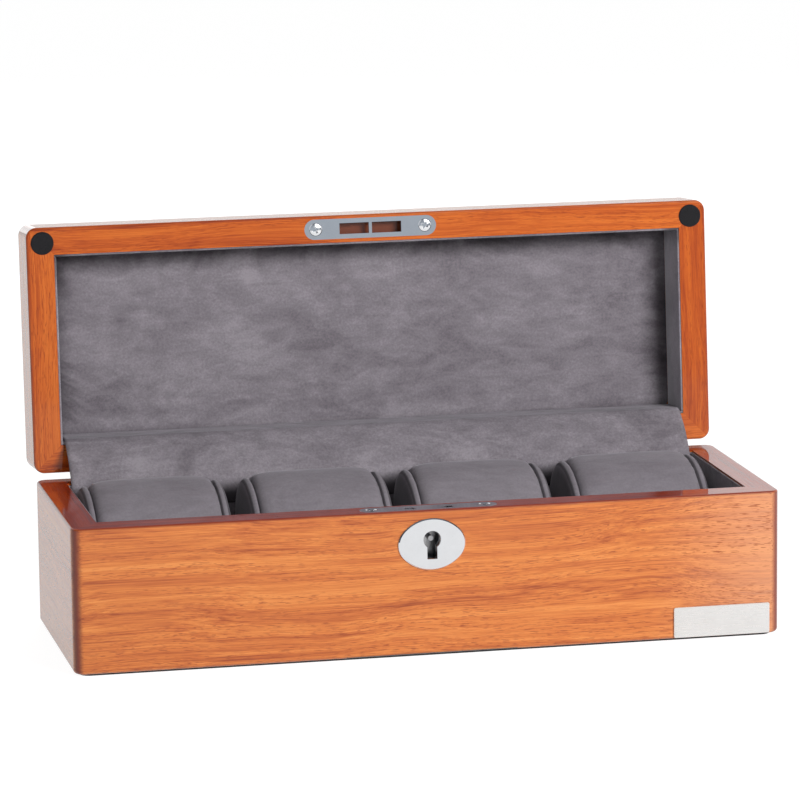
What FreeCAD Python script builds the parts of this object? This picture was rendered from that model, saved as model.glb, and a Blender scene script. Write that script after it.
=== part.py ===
import FreeCAD, Part

import math
import os
import re

import Sketcher

# Watch box for four watches, drawn with its lid standing open on the hinge stops.
# Millimetres. The origin is the middle of the underside, X runs to the right, Y to the back and Z up.
# Lid pieces are drawn where they lie with the lid shut, then turned open about the hinge pins.

SIZES = {
    # Wooden carcass
    "box_width": 330.0,
    "box_depth": 116.0,
    "base_height": 68.3,
    "wall": 13.0,
    "corner_radius": 5.0,
    "foot_edge_radius": 2.0,
    "rim_edge_radius": 1.0,
    "felt_thickness": 1.0,
    "felt_inset": 3.0,
    "bottom_thickness": 6.0,
    "lid_wall_height": 24.5,
    "lid_top_thickness": 7.1,
    "lid_edge_radius": 4.5,
    "parting_gap": 0.6,
    "lid_open_angle": 95.0,
    "half_width": "=box_width / 2",
    "half_depth": "=box_depth / 2",
    "inner_half_width": "=half_width - wall",
    "inner_half_depth": "=half_depth - wall",
    "bottom_top": "=felt_thickness + bottom_thickness",
    "lid_rim": "=base_height + parting_gap",
    "lid_ceiling": "=lid_rim + lid_wall_height",
    "lid_height": "=lid_wall_height + lid_top_thickness",
    # Suede-covered lining boards and dividers
    "lining": 1.0,
    "floor_lining": 1.5,
    "base_lining_drop": 0.8,
    "lid_lining_drop": 0.3,
    "ceiling_pad": 2.2,
    "ceiling_pad_radius": 1.5,
    "divider": 3.0,
    "divider_height": 38.0,
    "floor_top": "=bottom_top + floor_lining",
    "base_lining_top": "=base_height - base_lining_drop",
    "lid_lining_rim": "=lid_rim + lid_lining_drop",
    "lined_half_width": "=inner_half_width - lining",
    "lined_half_depth": "=inner_half_depth - lining",
    "cell_pitch": "=(2 * lined_half_width + divider) / 4",
    # Hinges
    "hinge_spacing": 190.0,
    "hinge_length": 38.0,
    "hinge_knuckle": 12.6,
    "knuckle_play": 0.2,
    "barrel_radius": 2.0,
    "barrel_play": 0.25,
    "pin_radius": 0.9,
    "pin_clearance": 0.05,
    "pin_setback": 2.0,
    "leaf_depth": 7.5,
    "leaf_thickness": 1.2,
    "stop_reach": 3.4,
    "stop_root": 1.3,
    "stop_thickness": 1.0,
    "stop_angle": 45.0,
    "stop_play_angle": 0.3,
    "hinge_screw_head": 2.1,
    "hinge_screw_shank": 1.0,
    "hinge_screw_length": 9.0,
    "hinge_screw_spacing": 13.0,
    "pin_y": "=half_depth + pin_setback",
    "pin_z": "=base_height + parting_gap / 2",
    "leaf_screw_y": "=half_depth - leaf_depth / 2",
    # Cloth flap over the hinge gap, with a tail down the base's back lining and one along the lid's
    "flap_thickness": 0.8,
    "flap_base_tail": 12.0,
    "flap_ceiling_gap": 0.3,
    "flap_end_gap": 1.0,
    "flap_radius": 41.0,
    "flap_rebate": 5.0,
    "flap_rebate_depth": 1.5,
    "flap_side_play": 0.8,
    "flap_half_width": "=lined_half_width - flap_end_gap",
    "flap_front": "=lined_half_depth - flap_thickness",
    "flap_reach_in": "=flap_front - pin_y",
    "flap_reach_out": "=lined_half_depth - pin_y",
    "flap_rise": "=lid_lining_rim - pin_z",
    "open_cos": "=cos(lid_open_angle * 1 deg)",
    "open_sin": "=sin(lid_open_angle * 1 deg)",
    "flap_in_y": "=pin_y + flap_reach_in * open_cos + flap_rise * open_sin",
    "flap_in_z": "=pin_z - flap_reach_in * open_sin + flap_rise * open_cos",
    "flap_out_y": "=pin_y + flap_reach_out * open_cos + flap_rise * open_sin",
    "flap_out_z": "=pin_z - flap_reach_out * open_sin + flap_rise * open_cos",
    # Lock faceplate and strike plate
    "plate_length": 64.0,
    "plate_width": 9.6,
    "plate_thickness": 1.6,
    "plate_screw_offset": 26.5,
    "plate_screw_head": 3.1,
    "plate_screw_shank": 1.5,
    "plate_screw_length": 13.0,
    "plate_y": "=-half_depth + wall / 2",
    "plate_under": "=base_height - plate_thickness",
    "window_inner": 0.75,
    "window_outer": 15.0,
    "window_width": 5.2,
    "hook_pocket_half": 21.0,
    "hook_pocket_depth": 5.6,
    # Lock case, claw hooks and driver bar
    "case_width": 46.0,
    "case_depth": 7.6,
    "case_height": 26.0,
    "case_sheet": 0.8,
    "case_under": "=plate_under - case_height",
    "case_inner_depth": "=case_depth - 2 * case_sheet",
    "hook_x": 16.5,
    "hook_drop": 6.4,
    "hook_inner_radius": 8.8,
    "hook_outer_radius": 10.6,
    "hook_thickness": 2.0,
    "hook_tip_angle": 144.0,
    "hook_sweep": 90.0,
    "hook_swing": 64.0,
    "hook_arm_width": 2.4,
    "hook_arm_lag": 7.0,
    "hook_hub_radius": 2.2,
    "hub_back_reach": 1.6,
    "hub_front_reach": 0.8,
    "hook_pivot_radius": 1.2,
    "hook_pivot_clearance": 0.05,
    "hook_slot_inner": 6.6,
    "hook_slot_outer": 11.0,
    "hook_slot_width": 2.6,
    "peg_reach": 4.0,
    "peg_radius": 0.55,
    "peg_arm_margin": 0.4,
    "peg_root": 0.5,
    "peg_play": 0.2,
    "driver_thickness": 1.1,
    "driver_height": 2.8,
    "driver_half_length": 14.8,
    "driver_back_play": 0.1,
    "hook_z": "=base_height - hook_drop",
    "hook_front": "=plate_y - hook_thickness",
    "peg_angle": "=180 + hook_swing / 2",
    "peg_z": "=hook_z - peg_reach * sin(hook_swing * 0.5 deg)",
    "driver_back": "=plate_y + case_inner_depth / 2 - driver_back_play",
    "driver_front": "=driver_back - driver_thickness",
    # Keyhole, escutcheon and nameplate
    "keyhole_drop": 13.6,
    "keyhole_radius": 4.1,
    "keyhole_slot": 4.7,
    "keyhole_slot_reach": 9.0,
    "post_radius": 1.2,
    "post_setback": 2.2,
    "keyhole_z": "=base_height - keyhole_drop",
    "escutcheon_end_radius": 9.2,
    "escutcheon_end_centre": 6.45,
    "escutcheon_short_half": 12.0,
    "escutcheon_thickness": 1.2,
    "escutcheon_bevel": 0.5,
    "escutcheon_sink": 2.1,
    "escutcheon_z": "=keyhole_z - escutcheon_sink",
    "escutcheon_side_radius": "=(escutcheon_end_centre ^ 2 + escutcheon_short_half ^ 2"
                              " - escutcheon_end_radius ^ 2)"
                              " / (2 * (escutcheon_short_half - escutcheon_end_radius))",
    "nameplate_width": 45.7,
    "nameplate_height": 14.2,
    "nameplate_thickness": 0.8,
    "nameplate_corner": 0.8,
    "nameplate_side_gap": 5.25,
    "nameplate_foot_gap": 1.7,
    "nameplate_x": "=half_width - nameplate_side_gap - nameplate_width / 2",
    "nameplate_z": "=nameplate_foot_gap + nameplate_height / 2",
    # Rubber bumpers on the lid rim
    "bumper_radius": 5.4,
    "bumper_side_inset": 7.6,
    "bumper_front_inset": 7.4,
    "bumper_x": "=half_width - bumper_side_inset",
    "bumper_y": "=-half_depth + bumper_front_inset",
    # Cushions: a four-arc oval leaning back in each cell
    "cushion_end_radius": 23.7,
    "cushion_end_centre": 12.1,
    "cushion_short_half": 27.9,
    "cushion_tilt": 41.0,
    "cushion_back_reach": 35.0,
    "cushion_rise": 33.0,
    "cushion_side_gap": 2.675,
    "cushion_shift": -2.2,
    "cushion_crown": 0.9,
    "cover_thickness": 1.2,
    "core_play": 0.05,
    "end_bulge": 4.6,
    "seam_inset": 0.9,
    "border_inset": 0.2,
    "border_fall": 1.8,
    "end_inset": 7.5,
    "cushion_y": "=lined_half_depth - cushion_back_reach",
    "cushion_z": "=floor_top + cushion_rise",
    "cushion_seam": "=(cell_pitch - divider) / 2 - cushion_side_gap - end_bulge",
    "cushion_side_radius": "=(cushion_end_centre ^ 2 + cushion_short_half ^ 2 - cushion_end_radius ^ 2)"
                           " / (2 * (cushion_short_half - cushion_end_radius))",
}

doc = FreeCAD.newDocument("watch_box")
sheet = doc.addObject("Spreadsheet::Sheet", "sizes")
for row, (size_name, size_value) in enumerate(SIZES.items(), start=1):
    sheet.set("A%d" % row, size_name)
    sheet.set("B%d" % row, str(size_value))
    sheet.setAlias("B%d" % row, size_name)
doc.recompute()


# Helpers that bind document objects to the sheet

def formula(text):
    """Turn plain size names into references to the sheet."""
    def reference(found):
        word = found.group(0)
        return "sizes." + word if word in SIZES else word
    return re.sub(r"[a-z_]+", reference, str(text))


def value(name):
    """The present value of one size."""
    return float(getattr(sheet, name))


def bind(item, **formulas):
    for name, text in formulas.items():
        item.setExpression(name, formula(text))


def place(item, x=0, y=0, z=0):
    """Bind the position of an object, leaving its rotation alone."""
    for axis, text in (("x", x), ("y", y), ("z", z)):
        item.setExpression(".Placement.Base." + axis, formula(text))


def turn(item, axis, degrees):
    """Set a fixed rotation; the position is bound afterwards with place."""
    item.Placement = FreeCAD.Placement(FreeCAD.Vector(0, 0, 0), FreeCAD.Rotation(axis, degrees))


X_AXIS = FreeCAD.Vector(1, 0, 0)
Y_AXIS = FreeCAD.Vector(0, 1, 0)
Z_AXIS = FreeCAD.Vector(0, 0, 1)


# Helpers for simple solids

def box(name, x, y, z):
    """A block between two formulas on each axis."""
    item = doc.addObject("Part::Box", name)
    bind(item,
         Length="(%s) - (%s)" % (x[1], x[0]),
         Width="(%s) - (%s)" % (y[1], y[0]),
         Height="(%s) - (%s)" % (z[1], z[0]))
    place(item, x[0], y[0], z[0])
    return item


def rod(name, radius, length, x, y, z, axis=Z_AXIS):
    """A cylinder from a point along +Z, or along +X or -Y when that axis is given."""
    item = doc.addObject("Part::Cylinder", name)
    bind(item, Radius=radius, Height=length)
    if axis == X_AXIS:
        turn(item, Y_AXIS, 90)
    if axis == Y_AXIS:
        turn(item, X_AXIS, 90)
    place(item, x, y, z)
    return item


def fuse(name, pieces):
    item = doc.addObject("Part::MultiFuse", name)
    item.Shapes = pieces
    item.Refine = True
    return item


def cut(name, base, tools):
    item = doc.addObject("Part::Cut", name)
    item.Base = base
    item.Tool = tools[0] if len(tools) == 1 else fuse(name + "_cutters", tools)
    return item


def common(name, first, second):
    item = doc.addObject("Part::Common", name)
    item.Base = first
    item.Tool = second
    return item


def group(name, pieces):
    item = doc.addObject("Part::Compound", name)
    item.Links = pieces
    return item


def stadium(name, length, width, thickness, y, z):
    """An upright plate with round ends, centred on X."""
    ends = "(%s) / 2 - (%s) / 2" % (length, width)
    radius = "(%s) / 2" % width
    bar = box(name + "_bar", ("-(%s)" % ends, ends), ("%s - %s" % (y, radius), "%s + %s" % (y, radius)),
              (z, "%s + %s" % (z, thickness)))
    left = rod(name + "_left", radius, thickness, "-(%s)" % ends, y, z)
    right = rod(name + "_right", radius, thickness, ends, y, z)
    return fuse(name, [bar, left, right])


def screw(name, head, shank, length, x, y, z, pointing):
    """A countersunk wood screw with its flat head at z, pointing down (-1) or up (1)."""
    sink = "(%s - %s)" % (head, shank)
    cone = doc.addObject("Part::Cone", name + "_head")
    bind(cone, Radius1=head, Radius2=shank, Height=sink)
    stem = doc.addObject("Part::Cylinder", name + "_stem")
    bind(stem, Radius=shank, Height="%s - %s" % (length, sink))
    if pointing < 0:
        turn(cone, X_AXIS, 180)
        turn(stem, X_AXIS, 180)
    place(cone, x, y, z)
    place(stem, x, y, "%s + (%d) * %s" % (z, pointing, sink))
    return fuse(name, [cone, stem])


# Helpers for sketched bodies

def origin_plane(body, role):
    for feature in body.Origin.OriginFeatures:
        if feature.Role == role:
            return feature
    raise RuntimeError("no plane " + role)


def new_sketch(body, name, role, offset):
    sketch = body.newObject("Sketcher::SketchObject", name)
    sketch.AttachmentSupport = [(origin_plane(body, role), "")]
    sketch.MapMode = "FlatFace"
    sketch.setExpression(".AttachmentOffset.Base.z", formula(offset))
    return sketch


def dimension(sketch, name, text, *constraint):
    """Add a named dimension and bind it to the sheet."""
    index = sketch.addConstraint(Sketcher.Constraint(*constraint))
    sketch.renameConstraint(index, name)
    sketch.setExpression("Constraints." + name, formula(text))


def rectangle(body, name, role, offset, width, depth):
    """A rectangle centred on the plane's origin."""
    sketch = new_sketch(body, name, role, offset)
    corners = [FreeCAD.Vector(x, y, 0) for x, y in ((-20, -10), (20, -10), (20, 10), (-20, 10))]
    for index in range(4):
        sketch.addGeometry(Part.LineSegment(corners[index], corners[(index + 1) % 4]))
    for index in range(4):
        sketch.addConstraint(Sketcher.Constraint("Coincident", index, 2, (index + 1) % 4, 1))
    for index in (0, 2):
        sketch.addConstraint(Sketcher.Constraint("Horizontal", index))
    for index in (1, 3):
        sketch.addConstraint(Sketcher.Constraint("Vertical", index))
    sketch.addConstraint(Sketcher.Constraint("Symmetric", 0, 1, 2, 1, -1, 1))
    dimension(sketch, "width", width, "DistanceX", 0, 1, 0, 2, 40.0)
    dimension(sketch, "depth", depth, "DistanceY", 1, 1, 1, 2, 20.0)
    return sketch


def pad(body, name, sketch, length):
    item = body.newObject("PartDesign::Pad", name)
    item.Profile = sketch
    bind(item, Length=length)
    doc.recompute()
    return item


def upright_edges(shape):
    height = shape.BoundBox.ZLength
    return [edge for edge in shape.Edges
            if abs(edge.BoundBox.ZLength - height) < 1e-4 and edge.BoundBox.XLength < 1e-4]


def edges_at(shape, height):
    return [edge for edge in shape.Edges
            if abs(edge.BoundBox.ZMin - height) < 1e-4 and abs(edge.BoundBox.ZMax - height) < 1e-4]


def dress_edges(body, kind, name, feature, edges, **sizes):
    """Fillet or chamfer the chosen edges of a body's last feature."""
    names = ["Edge%d" % (index + 1) for index, edge in enumerate(feature.Shape.Edges)
             if any(edge.isSame(chosen) for chosen in edges)]
    item = body.newObject("PartDesign::" + kind, name)
    item.Base = (feature, names)
    bind(item, **sizes)
    doc.recompute()
    return item


def rounded_block(name, width, depth, bottom, height, corner, lower=None, upper=None):
    """A block centred on the Z axis with rounded upright corners and, where given, rounded rims."""
    body = doc.addObject("PartDesign::Body", name)
    plan = rectangle(body, name + "_plan", "XY_Plane", bottom, width, depth)
    last = pad(body, name + "_pad", plan, height)
    last = dress_edges(body, "Fillet", name + "_corners", last, upright_edges(last.Shape), Radius=corner)
    if lower:
        lowest = edges_at(last.Shape, last.Shape.BoundBox.ZMin)
        last = dress_edges(body, "Fillet", name + "_lower", last, lowest, Radius=lower)
    if upper:
        highest = edges_at(last.Shape, last.Shape.BoundBox.ZMax)
        dress_edges(body, "Fillet", name + "_upper", last, highest, Radius=upper)
    return body


def oval(body, name, role, offset, prefix, inset):
    """A four-arc oval with the sizes that start with prefix, drawn in all round by inset."""
    sketch = new_sketch(body, name, role, offset)
    end = value(prefix + "_end_radius")
    side = value(prefix + "_side_radius")
    end_centre = value(prefix + "_end_centre")
    side_centre = side - value(prefix + "_short_half")
    joint_angle = math.atan2(side_centre, end_centre)
    centres = [(end_centre, 0), (0, -side_centre), (-end_centre, 0), (0, side_centre)]
    radii = [end, side, end, side]
    starts = [-joint_angle, joint_angle, math.pi - joint_angle, math.pi + joint_angle]
    stops = [joint_angle, math.pi - joint_angle, math.pi + joint_angle, 2 * math.pi - joint_angle]
    for centre, radius, start, stop in zip(centres, radii, starts, stops):
        circle = Part.Circle(FreeCAD.Vector(centre[0], centre[1], 0), Z_AXIS, radius)
        sketch.addGeometry(Part.ArcOfCircle(circle, start, stop))
    sketch.addConstraint(Sketcher.Constraint("Tangent", 0, 2, 1, 1))
    for index in (1, 2, 3):
        sketch.addConstraint(Sketcher.Constraint("Coincident", index, 2, (index + 1) % 4, 1))
    sketch.addConstraint(Sketcher.Constraint("Symmetric", 0, 1, 0, 2, -1))
    sketch.addConstraint(Sketcher.Constraint("Symmetric", 0, 2, 2, 1, -2))
    sketch.addConstraint(Sketcher.Constraint("Symmetric", 0, 1, 2, 2, -2))
    sketch.addConstraint(Sketcher.Constraint("Equal", 0, 2))
    sketch.addConstraint(Sketcher.Constraint("Equal", 1, 3))
    sketch.addConstraint(Sketcher.Constraint("PointOnObject", 0, 3, -1))
    dimension(sketch, "end_centre", prefix + "_end_centre", "DistanceX", -1, 1, 0, 3, end_centre)
    dimension(sketch, "end_radius", "%s_end_radius - (%s)" % (prefix, inset), "Radius", 0, end)
    dimension(sketch, "side_radius", "%s_side_radius - (%s)" % (prefix, inset), "Radius", 1, side)
    return sketch


def loft(body, kind, name, sections):
    item = body.newObject("PartDesign::" + kind, name)
    item.Profile = sections[0]
    item.Sections = sections[1:]
    doc.recompute()
    return item


# Register of the finished pieces

nodes = {}


def finish(item, name):
    """Keep a finished piece of the base or a cushion under its own name."""
    item.Label = name
    nodes[name] = item
    return item


LID_PLACEMENT = ("placement(vector(0; 0; 0); rotation(vector(1; 0; 0); -lid_open_angle);"
                 " vector(0; pin_y; pin_z))")


def opened(pieces, name):
    """Turn pieces drawn on the shut lid to where they are with the lid open."""
    item = group(name + "_open", pieces)
    item.setExpression("Placement", formula(LID_PLACEMENT))
    return item


def finish_on_lid(pieces, name):
    """Turn a finished lid piece open with the lid and keep it under its own name."""
    return finish(opened(pieces, name), name)


# Screws, made first because the wood takes its holes from them

base_hinge_screws = []
lid_hinge_screws = []
for side_name, side_sign in (("left", -1), ("right", 1)):
    for index in (-1, 0, 1):
        screw_x = "(%d) * hinge_spacing / 2 + (%d) * hinge_screw_spacing" % (side_sign, index)
        screw_name = "hinge_screw_%s_%d" % (side_name, index + 2)
        base_hinge_screws.append(screw(screw_name + "_base", "hinge_screw_head", "hinge_screw_shank",
                                       "hinge_screw_length", screw_x, "leaf_screw_y", "base_height", -1))
        lid_hinge_screws.append(screw(screw_name + "_lid", "hinge_screw_head", "hinge_screw_shank",
                                      "hinge_screw_length", screw_x, "leaf_screw_y", "lid_rim", 1))
lock_screws = []
strike_screws = []
for side_name, side_sign in (("left", -1), ("right", 1)):
    screw_x = "(%d) * plate_screw_offset" % side_sign
    lock_screws.append(screw("lock_screw_" + side_name, "plate_screw_head", "plate_screw_shank",
                             "plate_screw_length", screw_x, "plate_y", "base_height", -1))
    strike_screws.append(screw("strike_screw_" + side_name, "plate_screw_head", "plate_screw_shank",
                               "plate_screw_length", screw_x, "plate_y", "lid_rim", 1))
base_hinge_screw_group = finish(group("base_hinge_screw_group", base_hinge_screws), "base_hinge_screws")
lock_screw_group = finish(group("lock_screw_group", lock_screws), "lock_screws")
lid_hinge_screw_group = group("lid_hinge_screw_group", lid_hinge_screws)
strike_screw_group = group("strike_screw_group", strike_screws)
finish_on_lid([lid_hinge_screw_group], "lid_hinge_screws")
finish_on_lid([strike_screw_group], "strike_screws")


# Mitred walls

WALLS = (("front", "half_width", "half_depth", 0), ("right", "half_depth", "half_width", 90),
         ("back", "half_width", "half_depth", 180), ("left", "half_depth", "half_width", 270))


def mitred_walls(prefix, block, bottom, top):
    """The four walls of a frame, each cut from the rounded block by a wedge with mitred ends."""
    walls = {}
    for side, half_length, distance, angle in WALLS:
        wedge = doc.addObject("Part::Wedge", "%s_%s_wedge" % (prefix, side))
        bind(wedge,
             Xmin="-" + half_length, Xmax=half_length,
             X2min="-(%s - wall)" % half_length, X2max="%s - wall" % half_length,
             Ymin="-" + distance, Ymax="-%s + wall" % distance,
             Zmin=bottom, Z2min=bottom, Zmax=top, Z2max=top)
        turn(wedge, Z_AXIS, angle)
        walls[side] = common("%s_%s_plain" % (prefix, side), wedge, block)
    return walls


def keyhole(name, back):
    """A keyhole-shaped cutter from in front of the box back to the given depth."""
    front = "-half_depth - 5"
    reach = "%s - (%s)" % (back, front)
    eye = rod(name + "_eye", "keyhole_radius", reach, 0, back, "keyhole_z", Y_AXIS)
    slot = box(name + "_slot", ("-keyhole_slot / 2", "keyhole_slot / 2"), (front, back),
               ("keyhole_z - keyhole_slot_reach", "keyhole_z"))
    return fuse(name, [eye, slot])


def leaf_recesses(prefix, bottom, top):
    """Cutters for the two hinge leaves in a back rim."""
    cutters = []
    for side_name, sign in (("left", -1), ("right", 1)):
        middle = "(%d) * hinge_spacing / 2" % sign
        cutters.append(box("%s_recess_%s" % (prefix, side_name),
                           ("%s - hinge_length / 2" % middle, "%s + hinge_length / 2" % middle),
                           ("half_depth - leaf_depth", "half_depth + 1"), (bottom, top)))
    return cutters


base_block = rounded_block("base_block", "box_width", "box_depth", "felt_thickness",
                           "base_height - felt_thickness", "corner_radius",
                           "foot_edge_radius", "rim_edge_radius")
base_walls = mitred_walls("base", base_block, "felt_thickness", "base_height")
lid_block = rounded_block("lid_block", "box_width", "box_depth", "lid_rim", "lid_height",
                          "corner_radius", "rim_edge_radius", "lid_edge_radius")
lid_walls = mitred_walls("lid", lid_block, "lid_rim", "lid_ceiling")

case_pocket = box("case_pocket", ("-case_width / 2", "case_width / 2"),
                  ("plate_y - case_depth / 2", "plate_y + case_depth / 2"), ("case_under", "plate_under"))
faceplate_recess = stadium("faceplate_recess", "plate_length", "plate_width", "plate_thickness + 1",
                           "plate_y", "plate_under")
front_wall = cut("base_front_cut", base_walls["front"],
                 [case_pocket, faceplate_recess, keyhole("wall_keyhole", "plate_y"), lock_screw_group])
flap_span = ("-flap_half_width - flap_side_play", "flap_half_width + flap_side_play")
base_rebate = box("base_rebate", flap_span, ("inner_half_depth - 1", "inner_half_depth + flap_rebate"),
                  ("base_height - flap_rebate_depth", "base_height + 1"))
back_wall = cut("base_back_cut", base_walls["back"],
                leaf_recesses("base", "base_height - leaf_thickness", "base_height + 1")
                + [base_rebate, base_hinge_screw_group])
finish(front_wall, "base_front_wall")
finish(back_wall, "base_back_wall")
finish(base_walls["left"], "base_left_wall")
finish(base_walls["right"], "base_right_wall")

strike_recess = stadium("strike_recess", "plate_length", "plate_width", "plate_thickness + 1",
                        "plate_y", "lid_rim - 1")
hook_pocket = box("hook_pocket", ("-hook_pocket_half", "hook_pocket_half"),
                  ("plate_y - window_width / 2", "plate_y + window_width / 2"),
                  ("lid_rim", "lid_rim + hook_pocket_depth"))
lid_front = cut("lid_front_cut", lid_walls["front"], [strike_recess, hook_pocket, strike_screw_group])
lid_rebate = box("lid_rebate", flap_span, ("inner_half_depth - 1", "inner_half_depth + flap_rebate"),
                 ("lid_rim - 1", "lid_rim + flap_rebate_depth"))
lid_back = cut("lid_back_cut", lid_walls["back"],
               leaf_recesses("lid", "lid_rim - 1", "lid_rim + leaf_thickness")
               + [lid_rebate, lid_hinge_screw_group])
finish_on_lid([lid_front], "lid_front_wall")
finish_on_lid([lid_back], "lid_back_wall")
finish_on_lid([lid_walls["left"]], "lid_left_wall")
finish_on_lid([lid_walls["right"]], "lid_right_wall")

# Bottom, felt and lid top

inside_width = ("-inner_half_width", "inner_half_width")
inside_depth = ("-inner_half_depth", "inner_half_depth")
bottom_panel = box("bottom_panel", inside_width, inside_depth, ("felt_thickness", "bottom_top"))
finish(bottom_panel, "base_bottom_panel")
felt = rounded_block("felt_sheet", "box_width - 2 * felt_inset", "box_depth - 2 * felt_inset", "0",
                     "felt_thickness", "corner_radius")
finish(felt, "base_felt")
top_slab = box("lid_top_slab", ("-half_width", "half_width"), ("-half_depth", "half_depth"),
               ("lid_ceiling", "lid_ceiling + lid_top_thickness"))
lid_top = common("lid_top_cut", top_slab, lid_block)
finish_on_lid([lid_top], "lid_top_panel")

# Lining boards, ceiling pad and dividers


def lining_boards(prefix, bottom, top):
    """Four boards round the inside of a frame; the side boards stand between the long ones."""
    between = ("-lined_half_depth", "lined_half_depth")
    spans = {
        "front": (inside_width, ("-inner_half_depth", "-lined_half_depth")),
        "back": (inside_width, ("lined_half_depth", "inner_half_depth")),
        "left": (("-inner_half_width", "-lined_half_width"), between),
        "right": (("lined_half_width", "inner_half_width"), between),
    }
    return {side: box("%s_board_%s" % (prefix, side), x, y, (bottom, top)) for side, (x, y) in spans.items()}


floor_board = box("floor_board", inside_width, inside_depth, ("bottom_top", "floor_top"))
finish(floor_board, "base_floor_lining")
for side, board in lining_boards("base", "floor_top", "base_lining_top").items():
    finish(board, "base_%s_lining" % side)
for side, board in lining_boards("lid", "lid_lining_rim", "lid_ceiling").items():
    finish_on_lid([board], "lid_%s_lining" % side)
pad_block = rounded_block("ceiling_pad_block", "2 * lined_half_width", "2 * lined_half_depth",
                          "lid_ceiling - ceiling_pad", "ceiling_pad",
                          "ceiling_pad_radius", "ceiling_pad_radius")
finish_on_lid([pad_block], "lid_ceiling_pad")
for index in (-1, 0, 1):
    middle = "(%d) * cell_pitch" % index
    board = box("divider_board_%d" % (index + 2), ("%s - divider / 2" % middle, "%s + divider / 2" % middle),
                ("-lined_half_depth", "lined_half_depth"), ("floor_top", "floor_top + divider_height"))
    finish(board, "divider_%d" % (index + 2))

# Hinges with a stop: the lid leaf's heel swings down onto a bar behind the base leaf's knuckles


def knuckles(name, middle, only_middle, radius, extra):
    """The middle knuckle, or the two outer ones, lengthened by extra at the inner ends."""
    inner = "hinge_knuckle / 2"
    if only_middle:
        length = "2 * (%s + (%s))" % (inner, extra)
        return [rod(name, radius, length, "%s - %s / 2" % (middle, length), "pin_y", "pin_z", X_AXIS)]
    length = "hinge_length / 2 - %s - knuckle_play + (%s)" % (inner, extra)
    return [rod(name + "_a", radius, length, "%s - hinge_length / 2" % middle, "pin_y", "pin_z", X_AXIS),
            rod(name + "_b", radius, length, "%s + hinge_length / 2 - (%s)" % (middle, length),
                "pin_y", "pin_z", X_AXIS)]


def stop_bar(name, start, length, angle, below):
    """A radial bar on the barrel, with one face on the radial plane at the given angle."""
    item = doc.addObject("Part::Box", name)
    bind(item, Length=length, Width="stop_reach - stop_root", Height="stop_thickness")
    drop = "-stop_thickness" if below else "0"
    spot = ("placement(vector(%s; pin_y; pin_z); rotation(vector(1; 0; 0); %s))"
            " * placement(vector(0; stop_root; %s); rotation(vector(1; 0; 0); 0))")
    item.setExpression("Placement", formula(spot % (start, angle, drop)))
    return item


for side_name, side_sign in (("left", -1), ("right", 1)):
    tag = "hinge_" + side_name
    middle = "((%d) * hinge_spacing / 2)" % side_sign
    whole = ("%s - hinge_length / 2" % middle, "%s + hinge_length / 2" % middle)
    leaf_y = ("half_depth - leaf_depth", "pin_y")
    screws_base = [item for item in base_hinge_screws if side_name in item.Name]
    screws_lid = [item for item in lid_hinge_screws if side_name in item.Name]
    base_plate = box(tag + "_base_plate", whole, leaf_y, ("base_height - leaf_thickness", "base_height"))
    base_stop = stop_bar(tag + "_base_stop", whole[0], "hinge_length", "-stop_angle", True)
    base_solid = fuse(tag + "_base_solid", [base_plate, base_stop]
                      + knuckles(tag + "_base_knuckle", middle, False, "barrel_radius", "0"))
    base_room = knuckles(tag + "_base_room", middle, True, "barrel_radius + barrel_play", "knuckle_play")
    base_bore = rod(tag + "_base_bore", "pin_radius", "hinge_length", whole[0], "pin_y", "pin_z", X_AXIS)
    base_leaf = cut(tag + "_base_cut", base_solid, base_room + [base_bore] + screws_base)
    finish(base_leaf, tag + "_base_leaf")
    lid_plate = box(tag + "_lid_plate", whole, leaf_y, ("lid_rim", "lid_rim + leaf_thickness"))
    lid_heel = stop_bar(tag + "_lid_heel", "%s - hinge_knuckle / 2" % middle, "hinge_knuckle",
                        "lid_open_angle - stop_angle + stop_play_angle", False)
    lid_solid = fuse(tag + "_lid_solid", [lid_plate, lid_heel]
                     + knuckles(tag + "_lid_knuckle", middle, True, "barrel_radius", "0"))
    lid_room = knuckles(tag + "_lid_room", middle, False, "barrel_radius + barrel_play", "knuckle_play")
    lid_bore = rod(tag + "_lid_bore", "pin_radius + pin_clearance", "hinge_length", whole[0],
                   "pin_y", "pin_z", X_AXIS)
    lid_leaf = cut(tag + "_lid_cut", lid_solid, lid_room + [lid_bore] + screws_lid)
    finish_on_lid([lid_leaf], tag + "_lid_leaf")
    hinge_pin = rod(tag + "_pin_rod", "pin_radius", "hinge_length", whole[0], "pin_y", "pin_z", X_AXIS)
    finish(hinge_pin, tag + "_pin")

# Suede flap from the base's back lining to the lid's: a strip between two arcs and a flat tail on each lining

flap = doc.addObject("PartDesign::Body", "flap_body")
profile = new_sketch(flap, "flap_profile", "YZ_Plane", "-flap_half_width")
flap_corners = (("flap_front", "base_lining_top"), ("flap_in_y", "flap_in_z"),
                ("flap_out_y", "flap_out_z"), ("lined_half_depth", "base_lining_top"))
flap_points = [FreeCAD.Vector(value(across), value(up), 0) for across, up in flap_corners]


def arc_between(start, stop, radius):
    """The short arc of a radius from start to stop, bulging up and to the front."""
    chord = stop - start
    outward = FreeCAD.Vector(-chord.y, chord.x, 0).normalize()
    rise = radius - math.sqrt(radius ** 2 - (chord.Length / 2) ** 2)
    return Part.Arc(start, start + chord * 0.5 + outward * rise, stop)


profile.addGeometry(arc_between(flap_points[0], flap_points[1], value("flap_radius")))
profile.addGeometry(Part.LineSegment(flap_points[1], flap_points[2]))
profile.addGeometry(arc_between(flap_points[3], flap_points[2], value("flap_radius")))
profile.addGeometry(Part.LineSegment(flap_points[3], flap_points[0]))
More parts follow.
